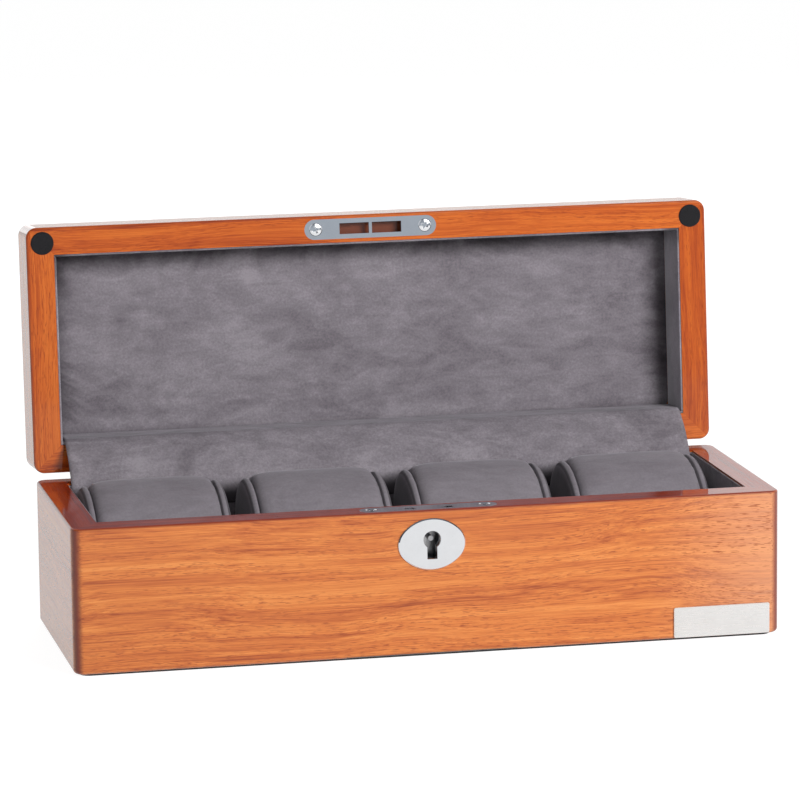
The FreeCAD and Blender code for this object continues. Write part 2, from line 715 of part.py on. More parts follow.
# An arc drawn by three points runs anticlockwise, so both flap arcs start at the lid end.
for first, first_end, second, second_end in ((0, 1, 1, 1), (1, 2, 2, 1), (2, 2, 3, 1), (3, 2, 0, 2)):
    profile.addConstraint(Sketcher.Constraint("Coincident", first, first_end, second, second_end))
for (line, line_end), (across, up) in zip(((3, 2), (1, 1), (1, 2), (3, 1)), flap_corners):
    corner = "%d_%d" % (line, line_end)
    dimension(profile, "across_" + corner, across, "DistanceX", -1, 1, line, line_end, value(across))
    dimension(profile, "up_" + corner, up, "DistanceY", -1, 1, line, line_end, value(up))
dimension(profile, "front_radius", "flap_radius", "Radius", 0, value("flap_radius"))
dimension(profile, "back_radius", "flap_radius", "Radius", 2, value("flap_radius"))
pad(flap, "flap_pad", profile, "2 * flap_half_width")
flap_width = ("-flap_half_width", "flap_half_width")
flap_layer = ("flap_front", "lined_half_depth")
base_tail = box("flap_base_strip", flap_width, flap_layer,
                ("base_lining_top - flap_base_tail", "base_lining_top"))
lid_tail = box("flap_lid_strip", flap_width, flap_layer,
               ("lid_lining_rim", "lid_ceiling - ceiling_pad - flap_ceiling_gap"))
flap_solid = fuse("flap_solid", [flap, base_tail, opened([lid_tail], "flap_lid_strip")])
finish(flap_solid, "hinge_flap")

# Lock: faceplate, case, post, two claw hooks, their pivots and the driver bar

faceplate_blank = stadium("faceplate_blank", "plate_length", "plate_width", "plate_thickness",
                          "plate_y", "plate_under")
hook_slots = []
for side_name, low, high in (("left", "-hook_slot_outer", "-hook_slot_inner"),
                             ("right", "hook_slot_inner", "hook_slot_outer")):
    hook_slots.append(box("hook_slot_" + side_name, (low, high),
                          ("hook_front - (hook_slot_width - hook_thickness) / 2",
                           "plate_y + (hook_slot_width - hook_thickness) / 2"),
                          ("plate_under - 1", "base_height + 1")))
faceplate = cut("faceplate_cut", faceplate_blank, hook_slots + lock_screws)
finish(faceplate, "lock_faceplate")

case_blank = box("case_blank", ("-case_width / 2", "case_width / 2"),
                 ("plate_y - case_depth / 2", "plate_y + case_depth / 2"), ("case_under", "plate_under"))
case_hollow = box("case_hollow", ("-case_width / 2 + case_sheet", "case_width / 2 - case_sheet"),
                  ("plate_y - case_inner_depth / 2", "plate_y + case_inner_depth / 2"),
                  ("case_under + case_sheet", "plate_under + 1"))
case = cut("case_cut", case_blank, [case_hollow, keyhole("case_keyhole", "plate_y")])
finish(case, "lock_case")
post = rod("post_rod", "post_radius", "plate_y + case_inner_depth / 2 + half_depth - post_setback",
           0, "plate_y + case_inner_depth / 2", "keyhole_z", Y_AXIS)
finish(post, "lock_post")

pivots = []
for side_name, side_sign in (("left", -1), ("right", 1)):
    pivots.append(rod("hook_pivot_" + side_name, "hook_pivot_radius", "case_inner_depth",
                      "(%d) * hook_x" % side_sign, "plate_y + case_inner_depth / 2", "hook_z", Y_AXIS))
finish(group("hook_pivot_group", pivots), "lock_hook_pivots")


def hook_part(kind, name, angle, back, **sizes):
    """A primitive set on the right-hand hook's pivot, turned by an angle seen from the front."""
    item = doc.addObject("Part::" + kind, name)
    bind(item, **sizes)
    spot = ("placement(vector(hook_x; %s; hook_z); rotation(vector(1; 0; 0); 90))"
            " * placement(vector(0; 0; 0); rotation(vector(0; 0; 1); %s))")
    item.setExpression("Placement", formula(spot % (back, angle)))
    return item


def hook_bar(name, angle, width, length):
    """A radial bar of the hook, from the pivot out to length."""
    item = doc.addObject("Part::Box", name)
    bind(item, Length=length, Width=width, Height="hook_thickness")
    spot = ("placement(vector(hook_x; plate_y; hook_z); rotation(vector(1; 0; 0); 90))"
            " * placement(vector(0; 0; 0); rotation(vector(0; 0; 1); %s))"
            " * placement(vector(0; -(%s) / 2; 0); rotation(vector(0; 0; 1); 0))")
    item.setExpression("Placement", formula(spot % (angle, width)))
    return item


claw_outer = hook_part("Cylinder", "claw_outer", "hook_tip_angle", "plate_y", Radius="hook_outer_radius",
                       Height="hook_thickness", Angle="hook_sweep")
claw_inner = hook_part("Cylinder", "claw_inner", "0", "plate_y + 1", Radius="hook_inner_radius",
                       Height="hook_thickness + 2")
claw = cut("claw", claw_outer, [claw_inner])
claw_arm = hook_bar("claw_arm", "hook_tip_angle + hook_sweep - hook_arm_lag", "hook_arm_width",
                    "(hook_inner_radius + hook_outer_radius) / 2")
peg_arm = hook_bar("peg_arm", "peg_angle", "2 * (peg_radius + peg_arm_margin)",
                   "peg_reach + peg_radius + peg_arm_margin")
hub = hook_part("Cylinder", "hook_hub", "0", "plate_y + hub_back_reach", Radius="hook_hub_radius",
                Height="hub_back_reach + hook_thickness + hub_front_reach")
peg = doc.addObject("Part::Cylinder", "hook_peg")
bind(peg, Radius="peg_radius", Height="driver_back - plate_y + peg_root")
peg_spot = ("placement(vector(hook_x; driver_back; hook_z); rotation(vector(1; 0; 0); 90))"
            " * placement(vector(0; 0; 0); rotation(vector(0; 0; 1); peg_angle))"
            " * placement(vector(peg_reach; 0; 0); rotation(vector(0; 0; 1); 0))")
peg.setExpression("Placement", formula(peg_spot))
hook_solid = fuse("hook_solid", [claw, claw_arm, peg_arm, hub, peg])
hook_bore = rod("hook_bore", "hook_pivot_radius + hook_pivot_clearance", "case_depth", "hook_x",
                "plate_y + case_depth / 2", "hook_z", Y_AXIS)
right_hook = cut("right_hook", hook_solid, [hook_bore])
finish(right_hook, "lock_hook_right")
left_hook = doc.addObject("Part::Mirroring", "left_hook")
left_hook.Source = right_hook
left_hook.Base = FreeCAD.Vector(0, 0, 0)
left_hook.Normal = X_AXIS
finish(left_hook, "lock_hook_left")

driver_blank = box("driver_blank", ("-driver_half_length", "driver_half_length"),
                   ("driver_front", "driver_back"),
                   ("peg_z - driver_height / 2", "peg_z + driver_height / 2"))
peg_slots = []
for side_name, low, high in (
        ("left", "-hook_x + peg_reach * cos(hook_swing * 0.5 deg) - peg_radius - peg_play",
         "-hook_x + peg_reach + peg_radius + peg_play"),
        ("right", "hook_x - peg_reach - peg_radius - peg_play",
         "hook_x - peg_reach * cos(hook_swing * 0.5 deg) + peg_radius + peg_play")):
    peg_slots.append(box("peg_slot_" + side_name, (low, high), ("driver_front - 1", "driver_back + 1"),
                         ("peg_z - peg_radius - peg_play", "peg_z + peg_radius + peg_play")))
driver = cut("driver_cut", driver_blank, peg_slots)
finish(driver, "lock_driver")

# Strike plate in the lid rim

strike_blank = stadium("strike_blank", "plate_length", "plate_width", "plate_thickness",
                       "plate_y", "lid_rim")
windows = []
for side_name, low, high in (("left", "-window_outer", "-window_inner"),
                             ("right", "window_inner", "window_outer")):
    windows.append(box("strike_window_" + side_name, (low, high),
                       ("plate_y - window_width / 2", "plate_y + window_width / 2"),
                       ("lid_rim - 1", "lid_rim + plate_thickness + 1")))
strike = cut("strike_cut", strike_blank, windows + strike_screws)
finish_on_lid([strike], "strike_plate")

# Escutcheon and nameplate on the front, bumpers on the lid rim

escutcheon_body = doc.addObject("PartDesign::Body", "escutcheon_body")
escutcheon_outline = oval(escutcheon_body, "escutcheon_outline", "XY_Plane", "0", "escutcheon", "0")
escutcheon_pad = pad(escutcheon_body, "escutcheon_pad", escutcheon_outline, "escutcheon_thickness")
escutcheon_edges = edges_at(escutcheon_pad.Shape, escutcheon_pad.Shape.BoundBox.ZMax)
dress_edges(escutcheon_body, "Chamfer", "escutcheon_rim", escutcheon_pad, escutcheon_edges,
            Size="escutcheon_bevel")
turn(escutcheon_body, X_AXIS, 90)
place(escutcheon_body, 0, "-half_depth", "escutcheon_z")
escutcheon = cut("escutcheon_cut", escutcheon_body, [keyhole("escutcheon_keyhole", "-half_depth + 1")])
finish(escutcheon, "escutcheon")

nameplate = rounded_block("nameplate_block", "nameplate_width", "nameplate_height", "0",
                          "nameplate_thickness", "nameplate_corner")
turn(nameplate, X_AXIS, 90)
place(nameplate, "nameplate_x", "-half_depth", "nameplate_z")
finish(nameplate, "nameplate")

for side_name, side_sign in (("left", -1), ("right", 1)):
    bumper = rod("bumper_disc_" + side_name, "bumper_radius", "parting_gap", "(%d) * bumper_x" % side_sign,
                 "bumper_y", "base_height")
    finish_on_lid([bumper], "lid_bumper_" + side_name)

# Cushions: foam core, crowned suede sleeve and two padded end panels, leaning back in each cell


def lean(item, cell):
    """Set a cushion piece in its cell, tilted about its long axis."""
    centre = "(%s) * cell_pitch + cushion_shift" % (cell - 2.5)
    spot = "placement(vector(%s; cushion_y; cushion_z); rotation(vector(1; 0; 0); cushion_tilt))" % centre
    item.setExpression("Placement", formula(spot))


END_SECTIONS = (("0", "seam_inset"), ("0.28 * end_bulge", "border_inset"),
                ("0.65 * end_bulge", "border_fall"), ("end_bulge", "end_inset"))

for cell in (1, 2, 3, 4):
    tag = "cushion_%d" % cell
    core = doc.addObject("PartDesign::Body", tag + "_core_body")
    core_section = oval(core, tag + "_core_section", "YZ_Plane", "-cushion_seam", "cushion",
                        "cover_thickness + core_play")
    pad(core, tag + "_core_pad", core_section, "2 * cushion_seam")
    lean(core, cell)
    finish(core, tag + "_core")

    sleeve = doc.addObject("PartDesign::Body", tag + "_sleeve_body")
    sleeve_sections = [oval(sleeve, tag + "_sleeve_left", "YZ_Plane", "-cushion_seam", "cushion", "0"),
                       oval(sleeve, tag + "_sleeve_crown", "YZ_Plane", "0", "cushion", "-cushion_crown"),
                       oval(sleeve, tag + "_sleeve_right", "YZ_Plane", "cushion_seam", "cushion", "0")]
    loft(sleeve, "AdditiveLoft", tag + "_sleeve_loft", sleeve_sections)
    sleeve_hole = oval(sleeve, tag + "_sleeve_hole", "YZ_Plane", "-cushion_seam", "cushion",
                       "cover_thickness")
    pocket = sleeve.newObject("PartDesign::Pocket", tag + "_sleeve_pocket")
    pocket.Profile = sleeve_hole
    pocket.Type = "ThroughAll"
    pocket.Reversed = True
    doc.recompute()
    lean(sleeve, cell)
    finish(sleeve, tag + "_sleeve")

    panel = doc.addObject("PartDesign::Body", tag + "_end_body")
    panel_sections = [oval(panel, "%s_end_%d" % (tag, index), "YZ_Plane", "cushion_seam + " + along,
                           "cushion", inset)
                      for index, (along, inset) in enumerate(END_SECTIONS)]
    loft(panel, "AdditiveLoft", tag + "_end_loft", panel_sections)
    other = doc.addObject("Part::Mirroring", tag + "_end_mirror")
    other.Source = panel
    other.Base = FreeCAD.Vector(0, 0, 0)
    other.Normal = X_AXIS
    ends = group(tag + "_end_group", [panel, other])
    lean(ends, cell)
    finish(ends, tag + "_ends")

# Check every object and write the pieces

doc.recompute()
for item in doc.Objects:
    if "Invalid" in item.State or "Error" in item.State:
        raise RuntimeError("%s did not build: %s" % (item.Name, item.State))
os.makedirs("parts", exist_ok=True)
for name, item in nodes.items():
    shape = item.Shape
    if shape.isNull() or not shape.isValid() or not shape.Solids:
        raise RuntimeError("%s has no valid solid" % name)
    shape.exportStep("parts/%s.step" % name)
    bounds = shape.BoundBox
    print("%-24s %d solid(s) %10.1f mm3  x %.1f..%.1f  y %.1f..%.1f  z %.1f..%.1f" % (
        name, len(shape.Solids), shape.Volume, bounds.XMin, bounds.XMax, bounds.YMin, bounds.YMax,
        bounds.ZMin, bounds.ZMax))
print(len(nodes), "nodes")
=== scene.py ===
import math

import bmesh
import bpy
from mathutils import Matrix, Vector, noise
from mathutils.bvhtree import BVHTree


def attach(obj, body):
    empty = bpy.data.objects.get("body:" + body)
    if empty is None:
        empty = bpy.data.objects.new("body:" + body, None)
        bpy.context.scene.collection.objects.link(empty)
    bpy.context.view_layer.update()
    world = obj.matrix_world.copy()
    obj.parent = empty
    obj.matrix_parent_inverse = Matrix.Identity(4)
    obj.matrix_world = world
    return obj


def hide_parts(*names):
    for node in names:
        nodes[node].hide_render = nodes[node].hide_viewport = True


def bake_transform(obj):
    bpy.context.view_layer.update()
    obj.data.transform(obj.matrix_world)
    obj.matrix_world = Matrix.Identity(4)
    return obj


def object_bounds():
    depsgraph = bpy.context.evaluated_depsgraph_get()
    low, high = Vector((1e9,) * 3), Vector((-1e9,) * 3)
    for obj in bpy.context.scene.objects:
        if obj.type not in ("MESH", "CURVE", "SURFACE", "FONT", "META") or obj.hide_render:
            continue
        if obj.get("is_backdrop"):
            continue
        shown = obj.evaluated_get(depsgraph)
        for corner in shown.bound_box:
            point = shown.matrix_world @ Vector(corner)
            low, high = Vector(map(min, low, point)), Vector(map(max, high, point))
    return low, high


# Looks of the watch box: veneer, suede, metal, the soft pieces, the studio and the camera.
# Metres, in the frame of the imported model.
# Lid pieces are shaped as they lie with the lid shut, then turned open.

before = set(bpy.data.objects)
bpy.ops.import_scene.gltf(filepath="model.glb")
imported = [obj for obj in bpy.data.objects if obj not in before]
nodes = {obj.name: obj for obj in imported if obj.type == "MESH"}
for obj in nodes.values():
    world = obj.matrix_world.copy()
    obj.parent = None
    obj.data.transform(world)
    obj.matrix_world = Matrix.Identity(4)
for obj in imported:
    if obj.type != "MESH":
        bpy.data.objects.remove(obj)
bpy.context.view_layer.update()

MM = 0.001

# Sizes of the box and its pieces

HALF_WIDTH = 165 * MM
HALF_DEPTH = 58 * MM
BASE_HEIGHT = 68.3 * MM
LID_RIM = 68.9 * MM
LID_TOP = 100.5 * MM
LID_OPEN = math.radians(95)
HINGE_PIN = Vector((0, 60 * MM, 68.6 * MM))

LINED_HALF_WIDTH = 151 * MM
LINED_HALF_DEPTH = 44 * MM
LINING = 1 * MM
BASE_LINING_TOP = 67.5 * MM
LID_LINING_BOTTOM = 69.2 * MM
FLOOR_BOTTOM = 7 * MM
FLOOR_TOP = 8.5 * MM
CEILING = 93.4 * MM
PAD = 2.2 * MM
DIVIDER_HALF = 1.5 * MM
DIVIDER_HEIGHT = 38 * MM

FLAP_HALF_WIDTH = 150 * MM
FLAP_HALF_THICKNESS = 0.4 * MM
FLAP_Y = 43.6 * MM
FLAP_TAIL = 55.5 * MM
FLAP_LEAVES_BASE = 67.3 * MM
FLAP_MEETS_LID = 70.2 * MM
FLAP_LID_Y = 43.2 * MM

CELL_PITCH = 76.25 * MM
CUSHION_SHIFT = -2.2 * MM
CUSHION_TILT = math.radians(41)
CUSHION_Y = 9.0 * MM
CUSHION_Z = 41.5 * MM
CUSHION_HALF = 33.95 * MM
SEAM = 29.35 * MM
BORDER = 3.1 * MM
END_RADIUS = 23.7 * MM
END_CENTRE = 12.1 * MM
SHORT_HALF = 27.9 * MM
SIDE_RADIUS = (END_CENTRE ** 2 + SHORT_HALF ** 2 - END_RADIUS ** 2) / (2 * (SHORT_HALF - END_RADIUS))
SIDE_CENTRE = SIDE_RADIUS - SHORT_HALF
JOIN_ANGLE = math.atan2(SIDE_CENTRE, END_CENTRE)

PLATE_Y = -51.5 * MM
PLATE_SCREW_X = 26.5 * MM
PLATE_SCREW_SINK = 0.2 * MM
HINGE_X = 95 * MM
HINGE_SCREW_Y = 54.25 * MM
HINGE_SCREW_PITCH = 13 * MM
HINGE_SCREW_SINK = 0.25 * MM
BUMPER_X = 157.4 * MM
BUMPER_Y = -50.6 * MM
BUMPER_RADIUS = 5.4 * MM
BUMPER_HEIGHT = 0.57 * MM

open_lid = (Matrix.Translation(HINGE_PIN) @ Matrix.Rotation(-LID_OPEN, 4, "X")
            @ Matrix.Translation(-HINGE_PIN))


# Short calls for building node trees

class Graph:
    """A node tree and the calls that add nodes to it."""

    def __init__(self, tree):
        self.tree = tree

    def add(self, kind, **settings):
        node = self.tree.nodes.new("ShaderNode" + kind)
        for key, setting in settings.items():
            setattr(node, key, setting)
        return node

    def feed(self, socket, given):
        """Link a socket, or set its value where a plain number, colour or vector is given."""
        if isinstance(given, bpy.types.NodeSocket):
            self.tree.links.new(given, socket)
        else:
            socket.default_value = given

    def wire(self, node, **given):
        """Feed a node's inputs, named with underscores for spaces, and give its first output."""
        for key, item in given.items():
            self.feed(node.inputs[key.replace("_", " ")], item)
        return node.outputs[0]

    def math(self, operation, *values):
        node = self.add("Math", operation=operation)
        for index, item in enumerate(values):
            self.feed(node.inputs[index], item)
        return node.outputs[0]

    def mixture(self, *parts):
        """The sum of several factors, each times its weight."""
        total = 0.0
        for factor, weight in reversed(parts):
            total = self.math("ADD", self.math("MULTIPLY", factor, weight), total)
        return total

    def axes(self, vector):
        """The three coordinates of a vector."""
        node = self.add("SeparateXYZ")
        self.feed(node.inputs[0], vector)
        return node.outputs[0], node.outputs[1], node.outputs[2]

    def spread(self, factor, low, high, to_low=0.0, to_high=1.0):
        """Map a range smoothly onto another."""
        node = self.add("MapRange", interpolation_type="SMOOTHSTEP")
        return self.wire(node, Value=factor, From_Min=low, From_Max=high, To_Min=to_low, To_Max=to_high)

    def choose(self, factor, first, second):
        """The first shader where the factor is 0, the second where it is 1."""
        node = self.add("MixShader")
        for index, item in enumerate((factor, first, second)):
            self.feed(node.inputs[index], item)
        return node.outputs[0]


class Finish(Graph):
    """One material, and the calls for its colours and relief."""

    def __init__(self, name):
        self.material = bpy.data.materials.new(name)
        self.material.use_nodes = True
        super().__init__(self.material.node_tree)
        self.shader = self.tree.nodes["Principled BSDF"]

    def surface(self, **given):
        self.wire(self.shader, **given)

    def place(self, on_lid=False):
        """Position on the piece in metres, for a lid piece as it lies with the lid shut."""
        spot = self.add("TexCoord").outputs["Object"]
        if not on_lid:
            return spot
        back = open_lid.inverted()
        return self.turned(spot, location=back.to_translation(), rotation=back.to_euler())

    def turned(self, vector, location=(0, 0, 0), rotation=(0, 0, 0), scale=(1, 1, 1)):
        node = self.add("Mapping")
        return self.wire(node, Vector=vector, Location=location, Rotation=rotation, Scale=scale)

    def noise(self, vector, scale, detail=2.0, roughness=0.5, distortion=0.0):
        node = self.add("TexNoise")
        return self.wire(node, Vector=vector, Scale=scale, Detail=detail, Roughness=roughness,
                         Distortion=distortion)

    def rough(self, factor, smooth, rough):
        """Roughness between two values, by a noise."""
        return self.spread(factor, 0.3, 0.7, smooth, rough)

    def ramp(self, factor, stops):
        node = self.add("ValToRGB")
        self.feed(node.inputs[0], factor)
        points = node.color_ramp.elements
        while len(points) < len(stops):
            points.new(0.5)
        for point, (position, colour) in zip(points, stops):
            point.position = position
            point.color = (*colour, 1)
        return node.outputs[0]

    def two_tone(self, factor, dark, light):
        return self.ramp(factor, ((0.3, dark), (0.7, light)))

    def blend(self, factor, below, colour, mode="MIX"):
        """Lay a plain colour over what is below."""
        node = self.add("Mix", data_type="RGBA", blend_type=mode)
        self.feed(node.inputs[0], factor)
        self.feed(node.inputs[6], below)
        self.feed(node.inputs[7], (*colour, 1))
        return node.outputs[2]

    def bump(self, height, distance, strength=1.0, normal=None):
        node = self.add("Bump")
        if normal is not None:
            self.feed(node.inputs["Normal"], normal)
        return self.wire(node, Height=height, Distance=distance, Strength=strength)


def edge_distances(graph, place, half_width, half_depth, low, high, open_back=False):
    """How far a point of a block's surface is from the nearest upright edge and the nearest level edge."""
    x, y, z = graph.axes(place)
    x_gap = graph.math("SUBTRACT", half_width, graph.math("ABSOLUTE", x))
    depth = graph.math("MULTIPLY", y, -1.0) if open_back else graph.math("ABSOLUTE", y)
    y_gap = graph.math("SUBTRACT", half_depth, depth)
    z_gap = graph.math("MINIMUM", graph.math("SUBTRACT", high, z), graph.math("SUBTRACT", z, low))
    level = graph.math("MINIMUM", graph.math("MAXIMUM", y_gap, z_gap), graph.math("MAXIMUM", x_gap, z_gap))
    return graph.math("MAXIMUM", x_gap, y_gap), level


# Veneer under clear lacquer

DARK_STREAK = (0.29, 0.055, 0.013)
MID_WOOD = (0.48, 0.118, 0.023)
LIGHT_WOOD = (0.61, 0.182, 0.037)
PALE_WOOD = (0.70, 0.245, 0.058)
WOOD_RAMP = ((0.38, DARK_STREAK), (0.445, MID_WOOD), (0.52, LIGHT_WOOD), (0.60, PALE_WOOD))
# Painted highlight: a paler tone towards the base front's right end stands in for a broad reflection of
# light
PAINTED_HIGHLIGHT_WOOD = (0.70, 0.345, 0.195)
PAINTED_HIGHLIGHT_FROM, PAINTED_HIGHLIGHT_TO = 95 * MM, 170 * MM
EDGE_STAIN = (0.165, 0.020, 0.011)
LID_EDGE_SHARE, BASE_EDGE_SHARE = 0.35, 0.75
LID_RIM_STAIN = (0.88, 0.60, 0.28)
LID_RIGHT_RIM_STAIN = (0.76, 0.45, 0.14)
# Painted shade: the base's rim, which faces up, is darkened for the little light it gets
BASE_RIM_PAINTED_SHADE = (0.53, 0.16, 0.06)
# Painted shade inside the keyhole and inside the strike plate's pocket
KEYHOLE_SHADE = (0.018, 0.009, 0.006)
POCKET_SHADE = (0.16, 0.045, 0.022)
POCKET_HALF = 40 * MM

# Noise scales along and across the grain
DRIFT_SCALE = (5.5, 14, 14)
BAND_SCALE = (3.0, 90, 90)
RING_SCALE = (4.0, 430, 430)
FIBRE_SCALE = (26, 1900, 1900)
PORE_SCALE = (210, 3300, 3300)
PORE_CROWD_SCALE = (9, 190, 190)
DRIFT_REACH = 22 * MM
LACQUER_WAVE_SCALE = 55.0


def veneer(name, along_depth, on_lid, start, is_front=False, rim_stain_and_shade=LID_RIM_STAIN):
    """Lacquered veneer with its grain along X, or along Y for the short walls."""
    graph = Finish(name)
    place = graph.place(on_lid)
    x, y, z = graph.axes(place)
    low, high = (LID_RIM, LID_TOP) if on_lid else (0.0, BASE_HEIGHT)
    upright, level = edge_distances(graph, place, HALF_WIDTH, HALF_DEPTH, low, high)
    quarter = (0, 0, math.radians(90)) if along_depth else (0, 0, 0)
    flow = graph.turned(place, location=start, rotation=quarter)

    # The grain drifts sideways slowly along its length.
    drift = graph.noise(graph.turned(flow, scale=DRIFT_SCALE), 1.0)
    sideways = graph.math("MULTIPLY", graph.math("SUBTRACT", drift, 0.5), DRIFT_REACH)
    lift = graph.add("CombineXYZ")
    for axis in (1, 2):
        graph.feed(lift.inputs[axis], sideways)
    bent = graph.add("VectorMath", operation="ADD")
    graph.feed(bent.inputs[0], flow)
    graph.feed(bent.inputs[1], lift.outputs[0])

    def figure(scale, detail, roughness):
        return graph.noise(graph.turned(bent.outputs[0], scale=scale), 1.0, detail, roughness)

    bands = figure(BAND_SCALE, 3.0, 0.55)
    rings = figure(RING_SCALE, 3.0, 0.65)
    fibres = figure(FIBRE_SCALE, 2.0, 0.6)
    wood = graph.ramp(graph.mixture((bands, 0.32), (rings, 0.36), (fibres, 0.32)), WOOD_RAMP)
    # Painted highlight: the base front grows paler towards its right end, in place of a broad reflection
    if is_front and not on_lid:
        wood = graph.blend(graph.spread(x, PAINTED_HIGHLIGHT_FROM, PAINTED_HIGHLIGHT_TO, 0.0, 0.55), wood, PAINTED_HIGHLIGHT_WOOD)

    pores = figure(PORE_SCALE, 1.0, 0.5)
    crowding = figure(PORE_CROWD_SCALE, 2.0, 0.5)
    pore_mark = graph.math("MULTIPLY", graph.spread(pores, 0.56, 0.67),
                           graph.spread(crowding, 0.36, 0.60, 0.18, 0.80))
    wood = graph.blend(pore_mark, wood, DARK_STREAK)

    # The lid's rims take more stain than the faces, and the rounded edges most of all. The base's darker rim
    # is painted shade.
    depth = graph.math("SUBTRACT", z, LID_RIM) if on_lid else graph.math("SUBTRACT", high, z)
    rim = graph.spread(depth, 0.1 * MM, 0.9 * MM, 1.0, 0.0)
    wood = graph.blend(rim, wood, rim_stain_and_shade, "MULTIPLY")
    corner = graph.math("MULTIPLY", graph.spread(upright, 1.6 * MM, 4.6 * MM, 0.92, 0.0),
                        graph.math("SUBTRACT", 1.0, rim))
    edge_share = LID_EDGE_SHARE if on_lid else BASE_EDGE_SHARE
    rounding = graph.spread(level, 0.2 * MM, 1.7 * MM, edge_share, 0.0)
    wood = graph.blend(graph.math("MAXIMUM", corner, rounding), wood, EDGE_STAIN)

    # Inside the keyhole and the strike plate's pocket the wood is darkened: painted shade in the recesses.
    if is_front:
        inward = graph.spread(graph.math("ADD", y, HALF_DEPTH), 0.2 * MM, 0.8 * MM)
        beside = graph.math("LESS_THAN", graph.math("ABSOLUTE", x), POCKET_HALF)
        sunk = graph.spread(depth, 0.4 * MM, 1.2 * MM)
        inside = graph.math("MULTIPLY", inward, graph.math("MULTIPLY", beside, sunk))
        wood = graph.blend(inside, wood, POCKET_SHADE if on_lid else KEYHOLE_SHADE)

    wave = graph.noise(place, LACQUER_WAVE_SCALE, 1.0)
    graph.surface(Base_Color=wood, Roughness=graph.rough(fibres, 0.34, 0.48), Specular_IOR_Level=0.1,
                  Coat_Normal=graph.bump(wave, 0.02 * MM), Coat_Weight=1.0, Coat_Roughness=0.035,
                  Coat_IOR=1.5)
    return graph.material


# Brushed suede: dark, middle and light shades of its nap, and the painted shade of corners, seams and depths

LINING_SHADES = ((0.135, 0.120, 0.136), (0.200, 0.181, 0.202), (0.275, 0.252, 0.277))
# Painted light: a lighter copy of the lining suede for the lid's end linings
LID_END_PAINTED_LIGHT = ((0.18, 0.162, 0.181), (0.26, 0.236, 0.263), (0.35, 0.32, 0.353))
FLAP_SHADES = ((0.150, 0.134, 0.151), (0.222, 0.201, 0.224), (0.300, 0.275, 0.302))
CUSHION_SHADES = ((0.179, 0.161, 0.181), (0.211, 0.192, 0.214), (0.245, 0.225, 0.249))
SUEDE_PAINTED_SHADE = (0.030, 0.026, 0.030)
SHEEN_TINT = (0.86, 0.84, 0.90, 1)
FLECK_SCALE = 900.0
NAP_FIBRE_SCALE = 2600.0
STROKE_RATIO = 3.1
CORNER_WANDER = 34 * MM


def suede(name, shades, nap_scale, sheen, on_lid=False, hollow=None, sunk=None, seams=False):
    """Grey suede with a patchy nap.

    It has painted shade in the corners of a hollow, deep down and on the cushions' end faces.
    Along seams the dark line is partly the thread's colour and partly painted shade.
    Sunk is (dark height, clear height, share of the painted shade).
    """
    graph = Finish(name)
    place = graph.place(on_lid)
    x, _, z = graph.axes(place)
    patches = graph.noise(graph.turned(place, scale=(0.7, 1.0, 1.0)), nap_scale, 4.0, 0.62, 1.4)
    brushed = graph.turned(place, rotation=(0, 0.3, 0.5), scale=(1.0, 2.6, 2.6))
    strokes = graph.noise(brushed, nap_scale * STROKE_RATIO, 3.0, 0.6, 0.8)
    flecks = graph.noise(place, FLECK_SCALE, 2.0, 0.7)
    tone = graph.mixture((patches, 0.46), (strokes, 0.26), (flecks, 0.28))
    cloth = graph.ramp(tone, tuple(zip((0.38, 0.50, 0.62), shades)))
    # Painted shade: the suede darkens towards the corners of the hollow
    if hollow:
        upright, level = edge_distances(graph, place, *hollow, open_back=True)
        wander = graph.math("MULTIPLY", graph.math("SUBTRACT", patches, 0.5), CORNER_WANDER)
        corner = graph.math("ADD", graph.math("MINIMUM", upright, level), wander)
        cloth = graph.blend(graph.spread(corner, -4 * MM, 12 * MM, 0.72, 0.0), cloth, SUEDE_PAINTED_SHADE)
    # Painted shade: the suede darkens below a height, where the shade between the cushions falls
    if sunk:
        cloth = graph.blend(graph.spread(z, *sunk, 0.0), cloth, SUEDE_PAINTED_SHADE)
    if seams:
        in_cell = graph.math("WRAP", graph.math("SUBTRACT", x, CUSHION_SHIFT), CELL_PITCH, 0.0)
        from_middle = graph.math("ABSOLUTE", graph.math("SUBTRACT", in_cell, CELL_PITCH / 2))
        end = SEAM + BORDER
        # Dark lines along both seams: partly the thread's darker colour, partly painted shade in the seam
        # grooves
        for seam in (SEAM, end):
            away = graph.math("ABSOLUTE", graph.math("SUBTRACT", from_middle, seam))
            cloth = graph.blend(graph.spread(away, 0.15 * MM, 0.75 * MM, 0.75, 0.0), cloth, SUEDE_PAINTED_SHADE)
        # Painted shade: the cushions' end faces, deep in the gaps between cushions, are darkened
        painted_end_shade = graph.spread(from_middle, end + 0.3 * MM, end + 1.3 * MM, 0.0, 0.72)
        cloth = graph.blend(painted_end_shade, cloth, SUEDE_PAINTED_SHADE)
    fibre = graph.noise(place, NAP_FIBRE_SCALE, 2.0, 0.6)
    relief = graph.bump(fibre, 0.10 * MM, 0.5, graph.bump(strokes, 0.25 * MM, 0.4))
    graph.surface(Base_Color=cloth, Roughness=graph.rough(flecks, 0.86, 0.98), Normal=relief,
                  Specular_IOR_Level=0.12, Sheen_Weight=sheen, Sheen_Roughness=0.45, Sheen_Tint=SHEEN_TINT)
    return graph.material


# Felt, metal, rubber and board

def felt(name):
    graph = Finish(name)
    fibres = graph.noise(graph.place(), 1100.0, 3.0, 0.7, 0.8)
    graph.surface(Base_Color=graph.two_tone(fibres, (0.010, 0.010, 0.011), (0.045, 0.044, 0.047)),
                  Roughness=graph.rough(fibres, 0.85, 1.0), Normal=graph.bump(fibres, 0.3 * MM, 0.8),
                  Sheen_Weight=0.3, Sheen_Roughness=0.6)
    return graph.material


